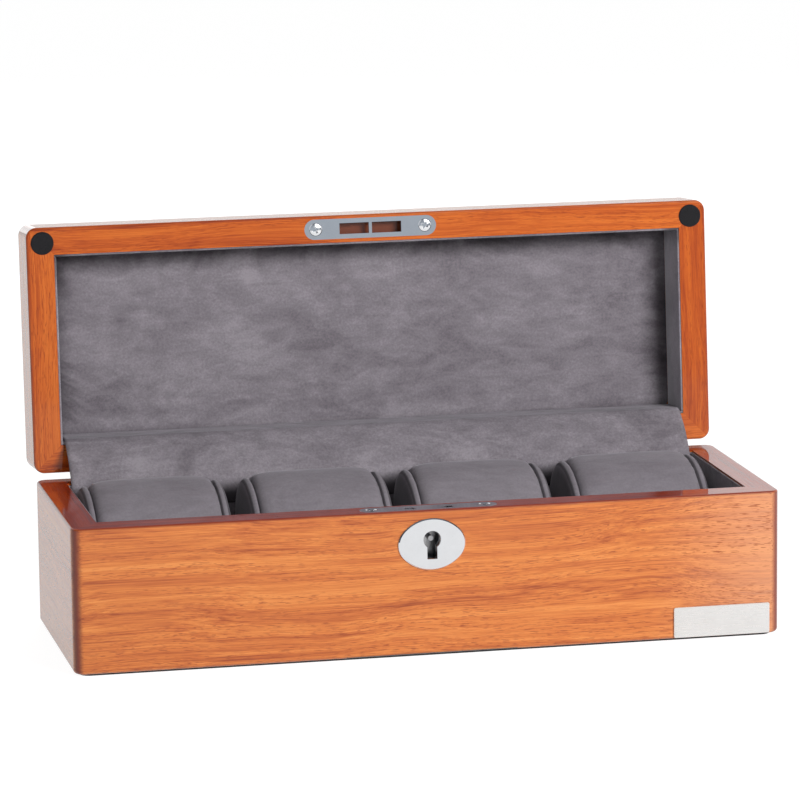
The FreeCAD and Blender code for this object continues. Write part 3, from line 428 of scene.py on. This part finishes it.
def metal(name, dark, light, smooth, rough, brushed=(1, 1, 1), depth=0.0):
    """Plated or bare metal with faint cloudiness and fine scratches."""
    graph = Finish(name)
    place = graph.place()
    cloud = graph.noise(place, 130.0, 3.0, 0.6)
    scratch = graph.noise(graph.turned(place, scale=brushed), 1400.0, 2.0, 0.6)
    graph.surface(Base_Color=graph.ramp(cloud, ((0.35, dark), (0.65, light))),
                  Roughness=graph.rough(scratch, smooth, rough), Metallic=1.0)
    if depth:
        graph.surface(Normal=graph.bump(scratch, depth, 0.6))
    return graph.material


def rubber(name):
    graph = Finish(name)
    grains = graph.noise(graph.place(), 1600.0, 2.0, 0.6)
    graph.surface(Base_Color=graph.two_tone(grains, (0.008, 0.008, 0.009), (0.018, 0.017, 0.019)),
                  Roughness=graph.rough(grains, 0.50, 0.66), Normal=graph.bump(grains, 0.03 * MM, 0.5),
                  Specular_IOR_Level=0.22)
    return graph.material


def board(name):
    graph = Finish(name)
    chips = graph.noise(graph.turned(graph.place(), scale=(0.6, 1, 1)), 420.0, 3.0, 0.6, 0.5)
    graph.surface(Base_Color=graph.two_tone(chips, (0.30, 0.19, 0.10), (0.52, 0.36, 0.21)),
                  Roughness=graph.rough(chips, 0.6, 0.8), Normal=graph.bump(chips, 0.05 * MM, 0.5))
    return graph.material


# A hollow is (half width, half depth, bottom, top). One that is open above or below has its end far away.
FAR = 1.0
base_hollow = (LINED_HALF_WIDTH, LINED_HALF_DEPTH, FLOOR_TOP, FAR)
lid_hollow = (LINED_HALF_WIDTH, LINED_HALF_DEPTH, -FAR, CEILING - PAD)
# The sunk heights on the base and flap suede set where painted shade starts and ends
base_suede = suede("base_suede", LINING_SHADES, 26.0, 0.3, hollow=base_hollow, sunk=(42 * MM, 62 * MM, 0.45))
lid_suede = suede("lid_suede", LINING_SHADES, 20.0, 0.4, on_lid=True, hollow=lid_hollow)
# The lid's end linings lie in shade; their lighter suede copy is painted light
lid_end_painted_light_suede = suede("lid_end_painted_light_suede", LID_END_PAINTED_LIGHT, 20.0, 0.9, on_lid=True, hollow=lid_hollow)
flap_suede = suede("flap_suede", FLAP_SHADES, 24.0, 0.15, sunk=(59.5 * MM, 67 * MM, 0.86))
cushion_suede = suede("cushion_suede", CUSHION_SHADES, 34.0, 0.25, seams=True)

SCRATCH_DEPTH = 0.01 * MM
chrome = metal("polished_chrome", (0.84, 0.85, 0.87), (0.87, 0.88, 0.90), 0.04, 0.07)
satin = metal("satin_plate", (0.955, 0.935, 0.915), (0.985, 0.965, 0.945), 0.24, 0.34,
              (0.05, 1, 1), SCRATCH_DEPTH)
brass = metal("hinge_brass", (0.62, 0.44, 0.17), (0.74, 0.55, 0.24), 0.24, 0.36, (0.1, 1, 1), SCRATCH_DEPTH)
steel = metal("lock_steel", (0.42, 0.42, 0.43), (0.55, 0.55, 0.56), 0.25, 0.40, (1, 1, 0.1), SCRATCH_DEPTH)


# Materials on the CAD pieces that keep their shape

WOOD_STARTS = {"front": (0.13, 0.05, 0.021), "back": (1.7, 0.3, 0.4), "left": (0.6, 2.1, 0.9),
               "right": (2.9, 1.2, 0.35), "top": (0.4, 0.0, 3.3)}
LID_WOOD_STEP = 5.0


def dress(node, material):
    mesh = nodes[node].data
    mesh.materials.clear()
    mesh.materials.append(material)


for side, start in WOOD_STARTS.items():
    is_short = side in ("left", "right")
    is_front = side == "front"
    lid_start = tuple(part + LID_WOOD_STEP for part in start)
    if side == "top":
        dress("lid_top_panel", veneer("veneer_lid_top", is_short, True, lid_start))
        continue
    lid_stain = LID_RIGHT_RIM_STAIN if side == "right" else LID_RIM_STAIN
    dress("base_%s_wall" % side,
          veneer("veneer_base_" + side, is_short, False, start, is_front, BASE_RIM_PAINTED_SHADE))
    dress("lid_%s_wall" % side,
          veneer("veneer_lid_" + side, is_short, True, lid_start, is_front, lid_stain))

dress("base_felt", felt("felt"))
dress("base_bottom_panel", board("plain_board"))
for node in ("lock_faceplate", "strike_plate", "escutcheon"):
    dress(node, chrome)
dress("nameplate", satin)
for side in ("left", "right"):
    for leaf in ("base_leaf", "lid_leaf", "pin"):
        dress("hinge_%s_%s" % (side, leaf), brass)
for inner in ("case", "post", "hook_left", "hook_right", "hook_pivots", "driver"):
    dress("lock_" + inner, steel)


# Short calls for making pieces

def new_piece(name, builder, material, body, replaced=()):
    """Turn a finished bmesh into a smooth-shaded piece that rides on a body."""
    mesh = bpy.data.meshes.new(name)
    builder.to_mesh(mesh)
    builder.free()
    mesh.materials.append(material)
    mesh.shade_smooth()
    piece = bpy.data.objects.new(name, mesh)
    bpy.context.collection.objects.link(piece)
    if body:
        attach(piece, body)
    if replaced:
        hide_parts(*replaced)
    return piece


def circle(builder, radius, height, steps, place):
    """New points on a circle about the local Z axis."""
    turns = [2 * math.pi * step / steps for step in range(steps)]
    return [builder.verts.new(place @ Vector((radius * math.cos(turn), radius * math.sin(turn), height)))
            for turn in turns]


def lathe(builder, profile, steps, place):
    """Turn a profile of (radius, height) about the local Z axis; end points on the axis close it."""
    rings = []
    for radius, height in profile:
        if radius == 0:
            rings.append([builder.verts.new(place @ Vector((0, 0, height)))])
        else:
            rings.append(circle(builder, radius, height, steps, place))
    for lower, upper in zip(rings, rings[1:]):
        for step in range(steps):
            after = (step + 1) % steps
            corners = [lower[step % len(lower)], lower[after % len(lower)],
                       upper[after % len(upper)], upper[step % len(upper)]]
            builder.faces.new(list(dict.fromkeys(corners)))


# Suede-covered lining boards and dividers, with their cloth rolled over the edges

LINING_ROLL = 0.42 * MM
FLOOR_ROLL = 0.4 * MM
DIVIDER_ROLL = 1.2 * MM


def wrapped_board(node, low, high, roll, material, body, on_lid=False):
    """A thin board between two corners, with rounded edges."""
    builder = bmesh.new()
    bmesh.ops.create_cube(builder, size=1.0)
    low, high = Vector(low), Vector(high)
    for vert in builder.verts:
        vert.co = Vector([low[axis] + (vert.co[axis] + 0.5) * (high[axis] - low[axis]) for axis in range(3)])
    bmesh.ops.bevel(builder, geom=builder.edges[:], offset=roll, segments=3, profile=0.5, affect="EDGES",
                    clamp_overlap=True)
    if on_lid:
        builder.transform(open_lid)
    new_piece(node + "_cloth", builder, material, body, [node])


outer_x = LINED_HALF_WIDTH + LINING
outer_y = LINED_HALF_DEPTH + LINING
lining_spans = {
    "front": ((-outer_x, -outer_y), (outer_x, -LINED_HALF_DEPTH)),
    "back": ((-outer_x, LINED_HALF_DEPTH), (outer_x, outer_y)),
    "left": ((-outer_x, -LINED_HALF_DEPTH), (-LINED_HALF_WIDTH, LINED_HALF_DEPTH)),
    "right": ((LINED_HALF_WIDTH, -LINED_HALF_DEPTH), (outer_x, LINED_HALF_DEPTH)),
}
for body, bottom, top, material, end_material in (
        ("base", FLOOR_TOP, BASE_LINING_TOP, base_suede, base_suede),
        ("lid", LID_LINING_BOTTOM, CEILING, lid_suede, lid_end_painted_light_suede)):
    for side, (low, high) in lining_spans.items():
        cloth = end_material if side in ("left", "right") else material
        wrapped_board("%s_%s_lining" % (body, side), (*low, bottom), (*high, top), LINING_ROLL, cloth, body,
                      on_lid=body == "lid")
wrapped_board("base_floor_lining", (-outer_x, -outer_y, FLOOR_BOTTOM), (outer_x, outer_y, FLOOR_TOP),
              FLOOR_ROLL, base_suede, "base")
for index in (1, 2, 3):
    middle = (index - 2) * CELL_PITCH
    wrapped_board("divider_%d" % index, (middle - DIVIDER_HALF, -LINED_HALF_DEPTH, FLOOR_TOP),
                  (middle + DIVIDER_HALF, LINED_HALF_DEPTH, FLOOR_TOP + DIVIDER_HEIGHT), DIVIDER_ROLL,
                  base_suede, "base")


# Padded lid ceiling: a thin wadded panel with rolled edges and a soft uneven face

def ceiling_pad():
    columns, rows = 150, 46
    soft_edge, edge_fall = 13 * MM, 2.0 * MM
    fold_depth, fold_place, fold_width = 1.2 * MM, 8.3 * MM, 3.5 * MM
    roll, roll_fall = 4.2 * MM, 1.3 * MM
    swell_height, swell_edge = 0.22 * MM, 8 * MM
    builder = bmesh.new()
    grid = []
    for row in range(rows + 1):
        line = []
        for column in range(columns + 1):
            across, along = 2 * column / columns - 1, 2 * row / rows - 1
            x = LINED_HALF_WIDTH * math.sin(across * math.pi / 2)
            y = LINED_HALF_DEPTH * math.sin(along * math.pi / 2)
            inside = min(LINED_HALF_WIDTH - abs(x), LINED_HALF_DEPTH + y)
            sink = edge_fall * max(0.0, 1 - inside / soft_edge) ** 2.6
            from_flap = LINED_HALF_DEPTH - y
            fold = math.exp(-((from_flap - fold_place) / fold_width) ** 2)
            fold *= 0.6 - 0.4 * x / LINED_HALF_WIDTH
            sink += fold_depth * fold * min(1.0, inside / soft_edge)
            sink += roll_fall * max(0.0, 1 - from_flap / roll) ** 2
            swell = swell_height * noise.noise(Vector((x * 21, y * 34, 4.0))) * min(1.0, inside / swell_edge)
            line.append(builder.verts.new((x, y, CEILING - PAD + sink - swell)))
        grid.append(line)
    for here, there in zip(grid, grid[1:]):
        for column in range(columns):
            builder.faces.new((here[column], there[column], there[column + 1], here[column + 1]))
    rim = [edge for edge in builder.edges if edge.is_boundary]
    grown = bmesh.ops.extrude_edge_only(builder, edges=rim)["geom"]
    for item in grown:
        if isinstance(item, bmesh.types.BMVert):
            item.co.z = CEILING
    bmesh.ops.contextual_create(builder, geom=[edge for edge in builder.edges if edge.is_boundary])
    builder.transform(open_lid)
    bmesh.ops.recalc_face_normals(builder, faces=builder.faces[:])
    pad = new_piece("lid_ceiling_cloth", builder, lid_suede, "lid", ["lid_ceiling_pad"])


ceiling_pad()


# Suede flap: up the base's back lining, over the hinge gap and along the lid's back lining to the ceiling

def smooth_path(points, steps):
    """A smooth line through points, with the same number of steps between each two."""
    line = []
    ends = [2 * points[0] - points[1]] + points + [2 * points[-1] - points[-2]]
    for before, here, there, beyond in zip(ends, ends[1:], ends[2:], ends[3:]):
        for step in range(steps):
            share = step / steps
            line.append(0.5 * (2 * here + (there - before) * share
                               + (2 * before - 5 * here + 4 * there - beyond) * share ** 2
                               + (3 * here - before - 3 * there + beyond) * share ** 3))
    return line + [points[-1]]


def flap_line(x):
    """The middle of the cloth at one place along the hinge, from the base up to the lid's ceiling."""
    bulge = 1.9 * MM + 0.7 * MM * noise.noise(Vector((x * 15, 2.0, 1.0)))
    tuck = 1.25 * MM + 0.3 * MM * noise.noise(Vector((x * 22, 5.0, 1.0)))
    low = Vector((x, FLAP_Y, FLAP_LEAVES_BASE))
    high = open_lid @ Vector((x, FLAP_LID_Y, FLAP_MEETS_LID))
    chord = high - low
    outward = Vector((0, -chord.z, chord.y)).normalized()
    points = [Vector((x, FLAP_Y, FLAP_TAIL)), Vector((x, FLAP_Y, FLAP_TAIL + 6 * MM)), low]
    for share in (0.25, 0.5, 0.75):
        points.append(low + chord * share + outward * bulge * math.sin(math.pi * share) ** 0.8)
    points.append(high)
    on_lid = ((1.2 * MM, 76 * MM), (1.3 * MM, 83 * MM), (tuck * 1.05, 88.6 * MM), (tuck, 91.0 * MM))
    for away, height in on_lid:
        points.append(open_lid @ Vector((x, LINED_HALF_DEPTH - away, height)))
    return smooth_path(points, 5)


def hinge_flap():
    columns = 150
    fuzz_height = 0.10 * MM
    builder = bmesh.new()
    spots = {}
    for column in range(columns + 1):
        x = FLAP_HALF_WIDTH * (2 * column / columns - 1)
        line = flap_line(x)
        rows = len(line) - 1
        for row, spot in enumerate(line):
            ahead = line[min(row + 1, rows)] - line[max(row - 1, 0)]
            normal = Vector((0, -ahead.z, ahead.y)).normalized()
            fuzz = fuzz_height * noise.noise(Vector((x * 70, row * 0.45, 7.0)))
            for layer, side in ((0, 1), (1, -1)):
                out = side * FLAP_HALF_THICKNESS + fuzz
                spots[layer, row, column] = builder.verts.new(spot + normal * out)
    for row in range(rows):
        for column in range(columns):
            near = [(row, column), (row, column + 1), (row + 1, column + 1), (row + 1, column)]
            builder.faces.new([spots[(0, *key)] for key in near])
            builder.faces.new([spots[(1, *key)] for key in reversed(near)])
    outline = [(0, column) for column in range(columns)]
    outline += [(row, columns) for row in range(rows)]
    outline += [(rows, column) for column in range(columns, 0, -1)]
    outline += [(row, 0) for row in range(rows, 0, -1)]
    for here, there in zip(outline, outline[1:] + outline[:1]):
        builder.faces.new((spots[(0, *there)], spots[(0, *here)], spots[(1, *here)], spots[(1, *there)]))
    bmesh.ops.recalc_face_normals(builder, faces=builder.faces[:])
    flap = new_piece("hinge_flap_cloth", builder, flap_suede, None, ["hinge_flap"])
    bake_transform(flap)


hinge_flap()


# Cushions: one padded form is blown up by a cloth simulation, then covered and sewn four times

FORM_POINTS = 72
COVER_POINTS = 176
FORM_VOXEL = 4.0 * MM
SEWN_REACH = 3 * MM
MOST_SWELL = 1.7 * MM
LAST_FRAME = 20


def outline_point(angle, inset):
    """A point of the cushion's four-arc outline and its outward normal, by the normal's direction."""
    normal = Vector((0, math.cos(angle), math.sin(angle)))
    if abs(normal.y) >= math.cos(JOIN_ANGLE):
        centre = Vector((0, math.copysign(END_CENTRE, normal.y), 0))
        return centre + normal * (END_RADIUS - inset), normal
    centre = Vector((0, 0, -math.copysign(SIDE_CENTRE, normal.z)))
    return centre + normal * (SIDE_RADIUS - inset), normal


def outline_angles(count):
    """Normal directions that are evenly spaced along the outline."""
    fine_steps = 2000
    angles, passed = [], 0.0
    fine = [2 * math.pi * step / fine_steps for step in range(fine_steps)]
    lengths = [END_RADIUS if abs(math.cos(angle)) >= math.cos(JOIN_ANGLE) else SIDE_RADIUS for angle in fine]
    total = sum(lengths)
    for angle, length in zip(fine, lengths):
        while len(angles) < count and passed >= total * len(angles) / count:
            angles.append(angle)
        passed += length
    return angles


def outline_ring(angles, insets, x):
    """The outline at one place along the cushion, drawn in by an inset for each angle."""
    return [outline_point(angle, inset)[0] + Vector((x, 0, 0)) for angle, inset in zip(angles, insets)]


def ring_mesh(rings):
    """Join closed rings of points in a row and close both ends with a fan."""
    builder = bmesh.new()
    lines = [[builder.verts.new(spot) for spot in ring] for ring in rings]
    count = len(rings[0])
    for lower, upper in zip(lines, lines[1:]):
        for step in range(count):
            after = (step + 1) % count
            builder.faces.new((lower[step], lower[after], upper[after], upper[step]))
    for line in (lines[0], lines[-1]):
        middle = sum((vert.co for vert in line), Vector()) / count
        hub = builder.verts.new(middle)
        for step in range(count):
            builder.faces.new((line[step], line[(step + 1) % count], hub))
    bmesh.ops.recalc_face_normals(builder, faces=builder.faces[:])
    return builder


def swell(form):
    """Fill the form out by cloth pressure, held back along its two seams."""
    bpy.context.view_layer.objects.active = form
    remesh = form.modifiers.new("remesh", "REMESH")
    remesh.mode = "VOXEL"
    remesh.voxel_size = FORM_VOXEL
    bpy.ops.object.modifier_apply(modifier=remesh.name)
    sewn = form.vertex_groups.new(name="sewn")
    for vert in form.data.vertices:
        away = abs(abs(vert.co.x) - SEAM)
        if away < SEWN_REACH:
            sewn.add([vert.index], 1 - away / SEWN_REACH, "REPLACE")
    cloth = form.modifiers.new("cloth", "CLOTH")
    cloth.settings.quality = 8
    cloth.settings.use_pressure = True
    cloth.settings.uniform_pressure_force = 4.0
    cloth.settings.effector_weights.gravity = 0.0
    cloth.settings.vertex_group_mass = sewn.name
    cloth.settings.tension_stiffness = 20.0
    cloth.settings.compression_stiffness = 20.0
    cloth.collision_settings.use_collision = False
    scene = bpy.context.scene
    for step in range(1, LAST_FRAME + 1):
        scene.frame_set(step)
    solved = form.evaluated_get(bpy.context.evaluated_depsgraph_get()).to_mesh()
    moved = [vert.co.copy() for vert in solved.vertices]
    scene.frame_set(1)
    form.modifiers.remove(cloth)
    for vert, target in zip(form.data.vertices, moved):
        step = target - vert.co
        if step.length > MOST_SWELL:
            step *= MOST_SWELL / step.length
        vert.co += step


def blown_form():
    """The padded form as a tree for rays: a slightly small cushion that is filled out between its seams."""
    angles = outline_angles(FORM_POINTS)
    inset = 0.9 * MM
    stations = [(-CUSHION_HALF + inset, 7.0 * MM), (-32.0 * MM, 2.4 * MM), (-SEAM, inset)]
    stations += [(SEAM * step / 6, inset) for step in range(-5, 6)]
    stations += [(-x, drawn_in) for x, drawn_in in reversed(stations[:3])]
    builder = ring_mesh([outline_ring(angles, [drawn_in] * len(angles), x) for x, drawn_in in stations])
    mesh = bpy.data.meshes.new("cushion_form")
    builder.to_mesh(mesh)
    builder.free()
    form = bpy.data.objects.new("cushion_form", mesh)
    bpy.context.collection.objects.link(form)
    swell(form)
    form.data.update()
    tree = BVHTree.FromPolygons([vert.co for vert in form.data.vertices],
                                [list(face.vertices) for face in form.data.polygons])
    bpy.data.objects.remove(form)
    return tree


def sleeve_rings(tree, angles, seed):
    """Rings of the sleeve between its seams, read off the blown form, with a crown, puckers and creases."""
    steps = 24
    deep = 12 * MM
    groove_depth, groove_width = 0.75 * MM, 0.75 * MM
    end_fall, fall_width = 1.3 * MM, 3.2 * MM
    crown_height = 2.0 * MM
    pucker_height, pucker_width = 0.13 * MM, 3.5 * MM
    crease_height, crease_edge = 0.18 * MM, 6 * MM
    upward = Matrix.Rotation(-CUSHION_TILT, 3, "X") @ Vector((0, 0, 1))
    rings = []
    for step in range(-steps, steps + 1):
        x = SEAM * math.sin(math.pi / 2 * step / steps)
        edge = SEAM - abs(x)
        groove = groove_depth * math.exp(-(edge / groove_width) ** 2)
        fall = end_fall * math.exp(-edge / fall_width)
        ring = []
        for angle in angles:
            start, normal = outline_point(angle, deep)
            start.x = x * 0.985
            spot = tree.ray_cast(start, normal)[0]
            reach = (spot - start).length if spot else deep
            pucker = pucker_height * math.exp(-edge / pucker_width)
            pucker *= noise.noise(Vector((angle * 13, seed, x * 60)))
            crease = crease_height * noise.noise(Vector((x * 26 + seed * 5, start.y * 60, start.z * 60)))
            crown = crown_height * max(0.0, normal.dot(upward)) * (1 - (x / SEAM) ** 8)
            out = reach - groove - fall + crown + pucker + crease * min(1.0, edge / crease_edge)
            ring.append(Vector((x, start.y, start.z)) + normal * out)
        rings.append(ring)
    return rings


def end_rings(angles, side, seed):
    """Rings of one end, from the seam over the rolled border and in across the padded end face."""
    border_steps, face_steps = 8, 12
    border_inset, border_rise, border_fall = 2.1 * MM, 0.75 * MM, 0.55 * MM
    face_inset, face_width = 2.7 * MM, 18.3 * MM
    seam_step = 0.15 * MM
    uneven = 0.10 * MM
    rings = []
    for step in range(1, border_steps + 1):
        share = step / border_steps
        inset = border_inset - border_rise * math.sin(math.pi * share) + border_fall * share
        insets = [inset + uneven * noise.noise(Vector((angle * 11, seed, side * 3.0))) for angle in angles]
        rings.append(outline_ring(angles, insets, side * (SEAM + BORDER * share)))
    face = SEAM + BORDER
    depth = CUSHION_HALF - face
    for step in range(1, face_steps + 1):
        share = step / face_steps
        inset = face_inset + face_width * share ** 1.6
        out = face + depth * (1 - (1 - share) ** 3) - seam_step * (step == 1)
        rings.append(outline_ring(angles, [inset] * len(angles), side * out))
    return rings


form_tree = blown_form()
cover_angles = outline_angles(COVER_POINTS)
for cell in (1, 2, 3, 4):
    seed = cell * 3.7
    sleeve = sleeve_rings(form_tree, cover_angles, seed)
    left_end = list(reversed(end_rings(cover_angles, -1, seed)))
    builder = ring_mesh(left_end + sleeve + end_rings(cover_angles, 1, seed))
    centre = Vector(((cell - 2.5) * CELL_PITCH + CUSHION_SHIFT, CUSHION_Y, CUSHION_Z))
    builder.transform(Matrix.Translation(centre) @ Matrix.Rotation(CUSHION_TILT, 4, "X"))
    tag = "cushion_%d" % cell
    cover = new_piece(tag + "_cover", builder, cushion_suede, tag,
                      [tag + "_sleeve", tag + "_ends", tag + "_core"])


# Countersunk screws with cross recesses

FLIP = Matrix.Rotation(math.pi, 4, "X")


def screw(builder, place, head, shank, length, cross):
    """A screw whose head's top lies on the local XY plane and whose shank runs down."""
    steps = 40
    rim_drop, rise, recess = 0.12 * MM, 0.22 * MM, 0.9 * MM
    recess_taper = 0.72
    slot = cross * 0.24
    outer = circle(builder, head, -rim_drop, steps, place)
    star = []
    for index, (sx, sy) in enumerate(((1, 1), (-1, 1), (-1, -1), (1, -1))):
        order = ((cross * sx, slot * sy), (slot * sx, slot * sy), (slot * sx, cross * sy))
        star += order if index % 2 == 0 else tuple(reversed(order))
    upper = [builder.verts.new(place @ Vector((x, y, rise))) for x, y in star]
    lower = [builder.verts.new(place @ Vector((x * recess_taper, y * recess_taper, -recess)))
             for x, y in star]
    edges = [builder.edges.new((loop[index], loop[(index + 1) % len(loop)]))
             for loop in (outer, upper) for index in range(len(loop))]
    bmesh.ops.triangle_fill(builder, use_beauty=True, use_dissolve=False, edges=edges)
    for index in range(len(star)):
        after = (index + 1) % len(star)
        builder.faces.new((upper[index], upper[after], lower[after], lower[index]))
    builder.faces.new(lower)
    sink = head - shank
    lathe(builder, ((head, -rim_drop), (shank, -sink), (shank, -length * 0.92), (0, -length)), steps, place)


def screw_set(name, node, places, sizes, material, body):
    builder = bmesh.new()
    for place in places:
        screw(builder, place, *sizes)
    bmesh.ops.remove_doubles(builder, verts=builder.verts[:], dist=0.005 * MM)
    bmesh.ops.recalc_face_normals(builder, faces=builder.faces[:])
    piece = new_piece(name, builder, material, body, [node])
    piece.data.set_sharp_from_angle(angle=math.radians(35))


def base_places(spots, y, sink):
    """Places on the base's rim, facing up, for spots of (x, turn)."""
    return [Matrix.Translation((x, y, BASE_HEIGHT - sink)) @ Matrix.Rotation(turn, 4, "Z")
            for x, turn in spots]


def lid_places(spots, y, sink):
    """Places on the lid's rim, facing out of it, for spots of (x, turn)."""
    return [open_lid @ Matrix.Translation((x, y, LID_RIM + sink)) @ FLIP @ Matrix.Rotation(turn, 4, "Z")
            for x, turn in spots]


# Head radius, shank radius, length and reach of the cross
plate_sizes = (3.05 * MM, 1.5 * MM, 13 * MM, 1.75 * MM)
hinge_sizes = (2.05 * MM, 1.0 * MM, 9 * MM, 1.15 * MM)
plate_spots = [(-PLATE_SCREW_X, 0.4), (PLATE_SCREW_X, 1.1)]
hinge_spots = [(hinge + offset, 0.3 + hinge * 40 + offset * 90)
               for hinge in (-HINGE_X, HINGE_X) for offset in (-HINGE_SCREW_PITCH, 0, HINGE_SCREW_PITCH)]
screw_set("lock_screw_heads", "lock_screws", base_places(plate_spots, PLATE_Y, PLATE_SCREW_SINK),
          plate_sizes, chrome, "base")
screw_set("strike_screw_heads", "strike_screws", lid_places(plate_spots, PLATE_Y, PLATE_SCREW_SINK),
          plate_sizes, chrome, "lid")
screw_set("base_hinge_screw_heads", "base_hinge_screws",
          base_places(hinge_spots, HINGE_SCREW_Y, HINGE_SCREW_SINK),
          hinge_sizes, brass, "base")
screw_set("lid_hinge_screw_heads", "lid_hinge_screws",
          lid_places(hinge_spots, HINGE_SCREW_Y, HINGE_SCREW_SINK),
          hinge_sizes, brass, "lid")


# Rubber bumpers with a rounded edge on the lid rim

bumper_rubber = rubber("black_rubber")
bumper_roll = 0.45 * MM
bumper_profile = [(0, 0), (BUMPER_RADIUS, 0), (BUMPER_RADIUS, BUMPER_HEIGHT * 0.2)]
bumper_profile += [(BUMPER_RADIUS - bumper_roll * (1 - math.cos(turn)),
                    BUMPER_HEIGHT * 0.35 + BUMPER_HEIGHT * 0.6 * math.sin(turn))
                   for turn in (math.pi / 2 * step / 6 for step in range(7))]
bumper_profile += [(BUMPER_RADIUS * 0.5, BUMPER_HEIGHT * 0.99), (0, BUMPER_HEIGHT)]
for side, x in (("left", -BUMPER_X), ("right", BUMPER_X)):
    builder = bmesh.new()
    lathe(builder, bumper_profile, 64, open_lid @ Matrix.Translation((x, BUMPER_Y, LID_RIM)) @ FLIP)
    bmesh.ops.recalc_face_normals(builder, faces=builder.faces[:])
    new_piece("lid_bumper_%s_disc" % side, builder, bumper_rubber, "lid",
              ["lid_bumper_" + side])


# Studio: a pale floor that keeps the shadow, a bright room behind and soft lamps

WHITE = (1, 1, 1)
ROOM_GREY = (0.39, 0.425, 0.47)
FLOOR_HALF = 9.0
FLOOR_GLOW = 0.89
FLOOR_GLOW_SEEN = 0.30
FLOOR_GLOW_SHARE = 0.80
BACKDROP = 0.95
BACKDROP_FOOT = 1.6
SOFT_BOX = 2.6
SOFT_LIGHT = 0.15
BOX_MIDDLE = Vector((0, 0, 80 * MM))
KEY_PLACE = Vector((0.77, -1.45, 0.81))


def floor():
    builder = bmesh.new()
    bmesh.ops.create_grid(builder, x_segments=8, y_segments=8, size=FLOOR_HALF)
    mesh = bpy.data.meshes.new("floor")
    builder.to_mesh(mesh)
    builder.free()
    ground = bpy.data.objects.new("floor", mesh)
    bpy.context.collection.objects.link(ground)
    graph = Finish("floor_paper")
    speckle = graph.noise(graph.place(), 40.0)
    graph.surface(Base_Color=graph.two_tone(speckle, (0.86, 0.86, 0.86), (0.90, 0.90, 0.90)),
                  Roughness=0.9, Specular_IOR_Level=0.0)
    path = graph.add("LightPath").outputs
    mirrored = graph.math("MAXIMUM", path["Is Glossy Ray"], path["Is Transmission Ray"])
    seen = graph.math("MAXIMUM", path["Is Camera Ray"], mirrored)
    glow = graph.add("Emission")
    graph.feed(glow.inputs["Strength"],
               graph.math("MULTIPLY_ADD", path["Is Camera Ray"], FLOOR_GLOW_SEEN, FLOOR_GLOW))
    share = graph.math("MULTIPLY", seen, FLOOR_GLOW_SHARE)
    mixed = graph.choose(share, graph.shader.outputs[0], glow.outputs[0])
    graph.feed(graph.tree.nodes["Material Output"].inputs["Surface"], mixed)
    mesh.materials.append(graph.material)
    ground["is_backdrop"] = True


def room():
    """White to the camera.

    Reflections see a bright backdrop behind, a grey room and a soft box in front, and dim sides.
    """
    world = bpy.data.worlds.new("room")
    bpy.context.scene.world = world
    world.use_nodes = True
    graph = Graph(world.node_tree)

    def background(colour, strength):
        return graph.wire(graph.add("Background"), Color=(*colour, 1), Strength=strength)

    direction = graph.add("TexCoord").outputs["Generated"]
    x, y, z = graph.axes(direction)
    dim_sides = graph.spread(graph.math("ABSOLUTE", x), 0.40, 0.85, 1.0, 0.25)
    dim_top = graph.spread(z, 0.10, 0.75, 1.0, 0.35)
    front = background(ROOM_GREY, graph.math("MULTIPLY", dim_sides, dim_top))
    near_floor = graph.spread(z, 0.02, 0.10, 1.0, 0.0)
    backdrop = graph.choose(near_floor, background(WHITE, BACKDROP), background(WHITE, BACKDROP_FOOT))
    plain = graph.choose(graph.spread(y, -0.05, 0.35), front, backdrop)
    towards = graph.add("VectorMath", operation="DOT_PRODUCT")
    graph.feed(towards.inputs[0], direction)
    graph.feed(towards.inputs[1], (KEY_PLACE - BOX_MIDDLE).normalized())
    soft_box = graph.spread(towards.outputs["Value"], 0.945, 0.985)
    mirrored = graph.choose(soft_box, plain, background(WHITE, SOFT_BOX))
    path = graph.add("LightPath").outputs
    soft = graph.choose(path["Is Diffuse Ray"], mirrored, background(WHITE, SOFT_LIGHT))
    seen = graph.choose(path["Is Camera Ray"], soft, background(WHITE, 1.0))
    graph.feed(graph.tree.nodes["World Output"].inputs["Surface"], seen)


def lamp(name, place, width, height, power):
    """A soft lamp aimed at the box. Reflections show the room's soft box instead of it."""
    light = bpy.data.lights.new(name, "AREA")
    light.shape = "RECTANGLE"
    light.size = width
    light.size_y = height
    light.energy = power
    item = bpy.data.objects.new(name, light)
    bpy.context.collection.objects.link(item)
    item.location = place
    item.rotation_euler = (BOX_MIDDLE - Vector(place)).to_track_quat("-Z", "Y").to_euler()
    item.visible_glossy = False


floor()
room()
lamp("key", KEY_PLACE, width=0.7, height=0.6, power=29)
lamp("fill", (-0.45, -1.55, 0.90), width=0.7, height=0.6, power=3.5)
lamp("behind", (0.40, 1.70, 0.95), width=0.9, height=0.6, power=18)


# Camera fitted to the photograph's edges

FOCAL_PIXELS = 4767.5
IMAGE_PIXELS = 800
CAMERA_PLACE = (-459.06 * MM, -2128.13 * MM, 514.46 * MM)
CAMERA_ROLL, CAMERA_PITCH, CAMERA_YAW = -0.01111, 0.18426, 0.21175

camera_data = bpy.data.cameras.new("camera")
camera_data.sensor_width = 36
camera_data.lens = camera_data.sensor_width * FOCAL_PIXELS / IMAGE_PIXELS
camera_data.clip_start = 0.05
camera_data.clip_end = 60
camera = bpy.data.objects.new("camera", camera_data)
bpy.context.collection.objects.link(camera)
aim = (Matrix.Rotation(CAMERA_ROLL, 4, "Y") @ Matrix.Rotation(CAMERA_PITCH, 4, "X")
       @ Matrix.Rotation(CAMERA_YAW, 4, "Z")).transposed()
camera.matrix_world = Matrix.Translation(CAMERA_PLACE) @ aim @ Matrix.Rotation(math.pi / 2, 4, "X")
bpy.context.scene.camera = camera
bpy.context.scene.view_settings.view_transform = "Standard"

low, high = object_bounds()
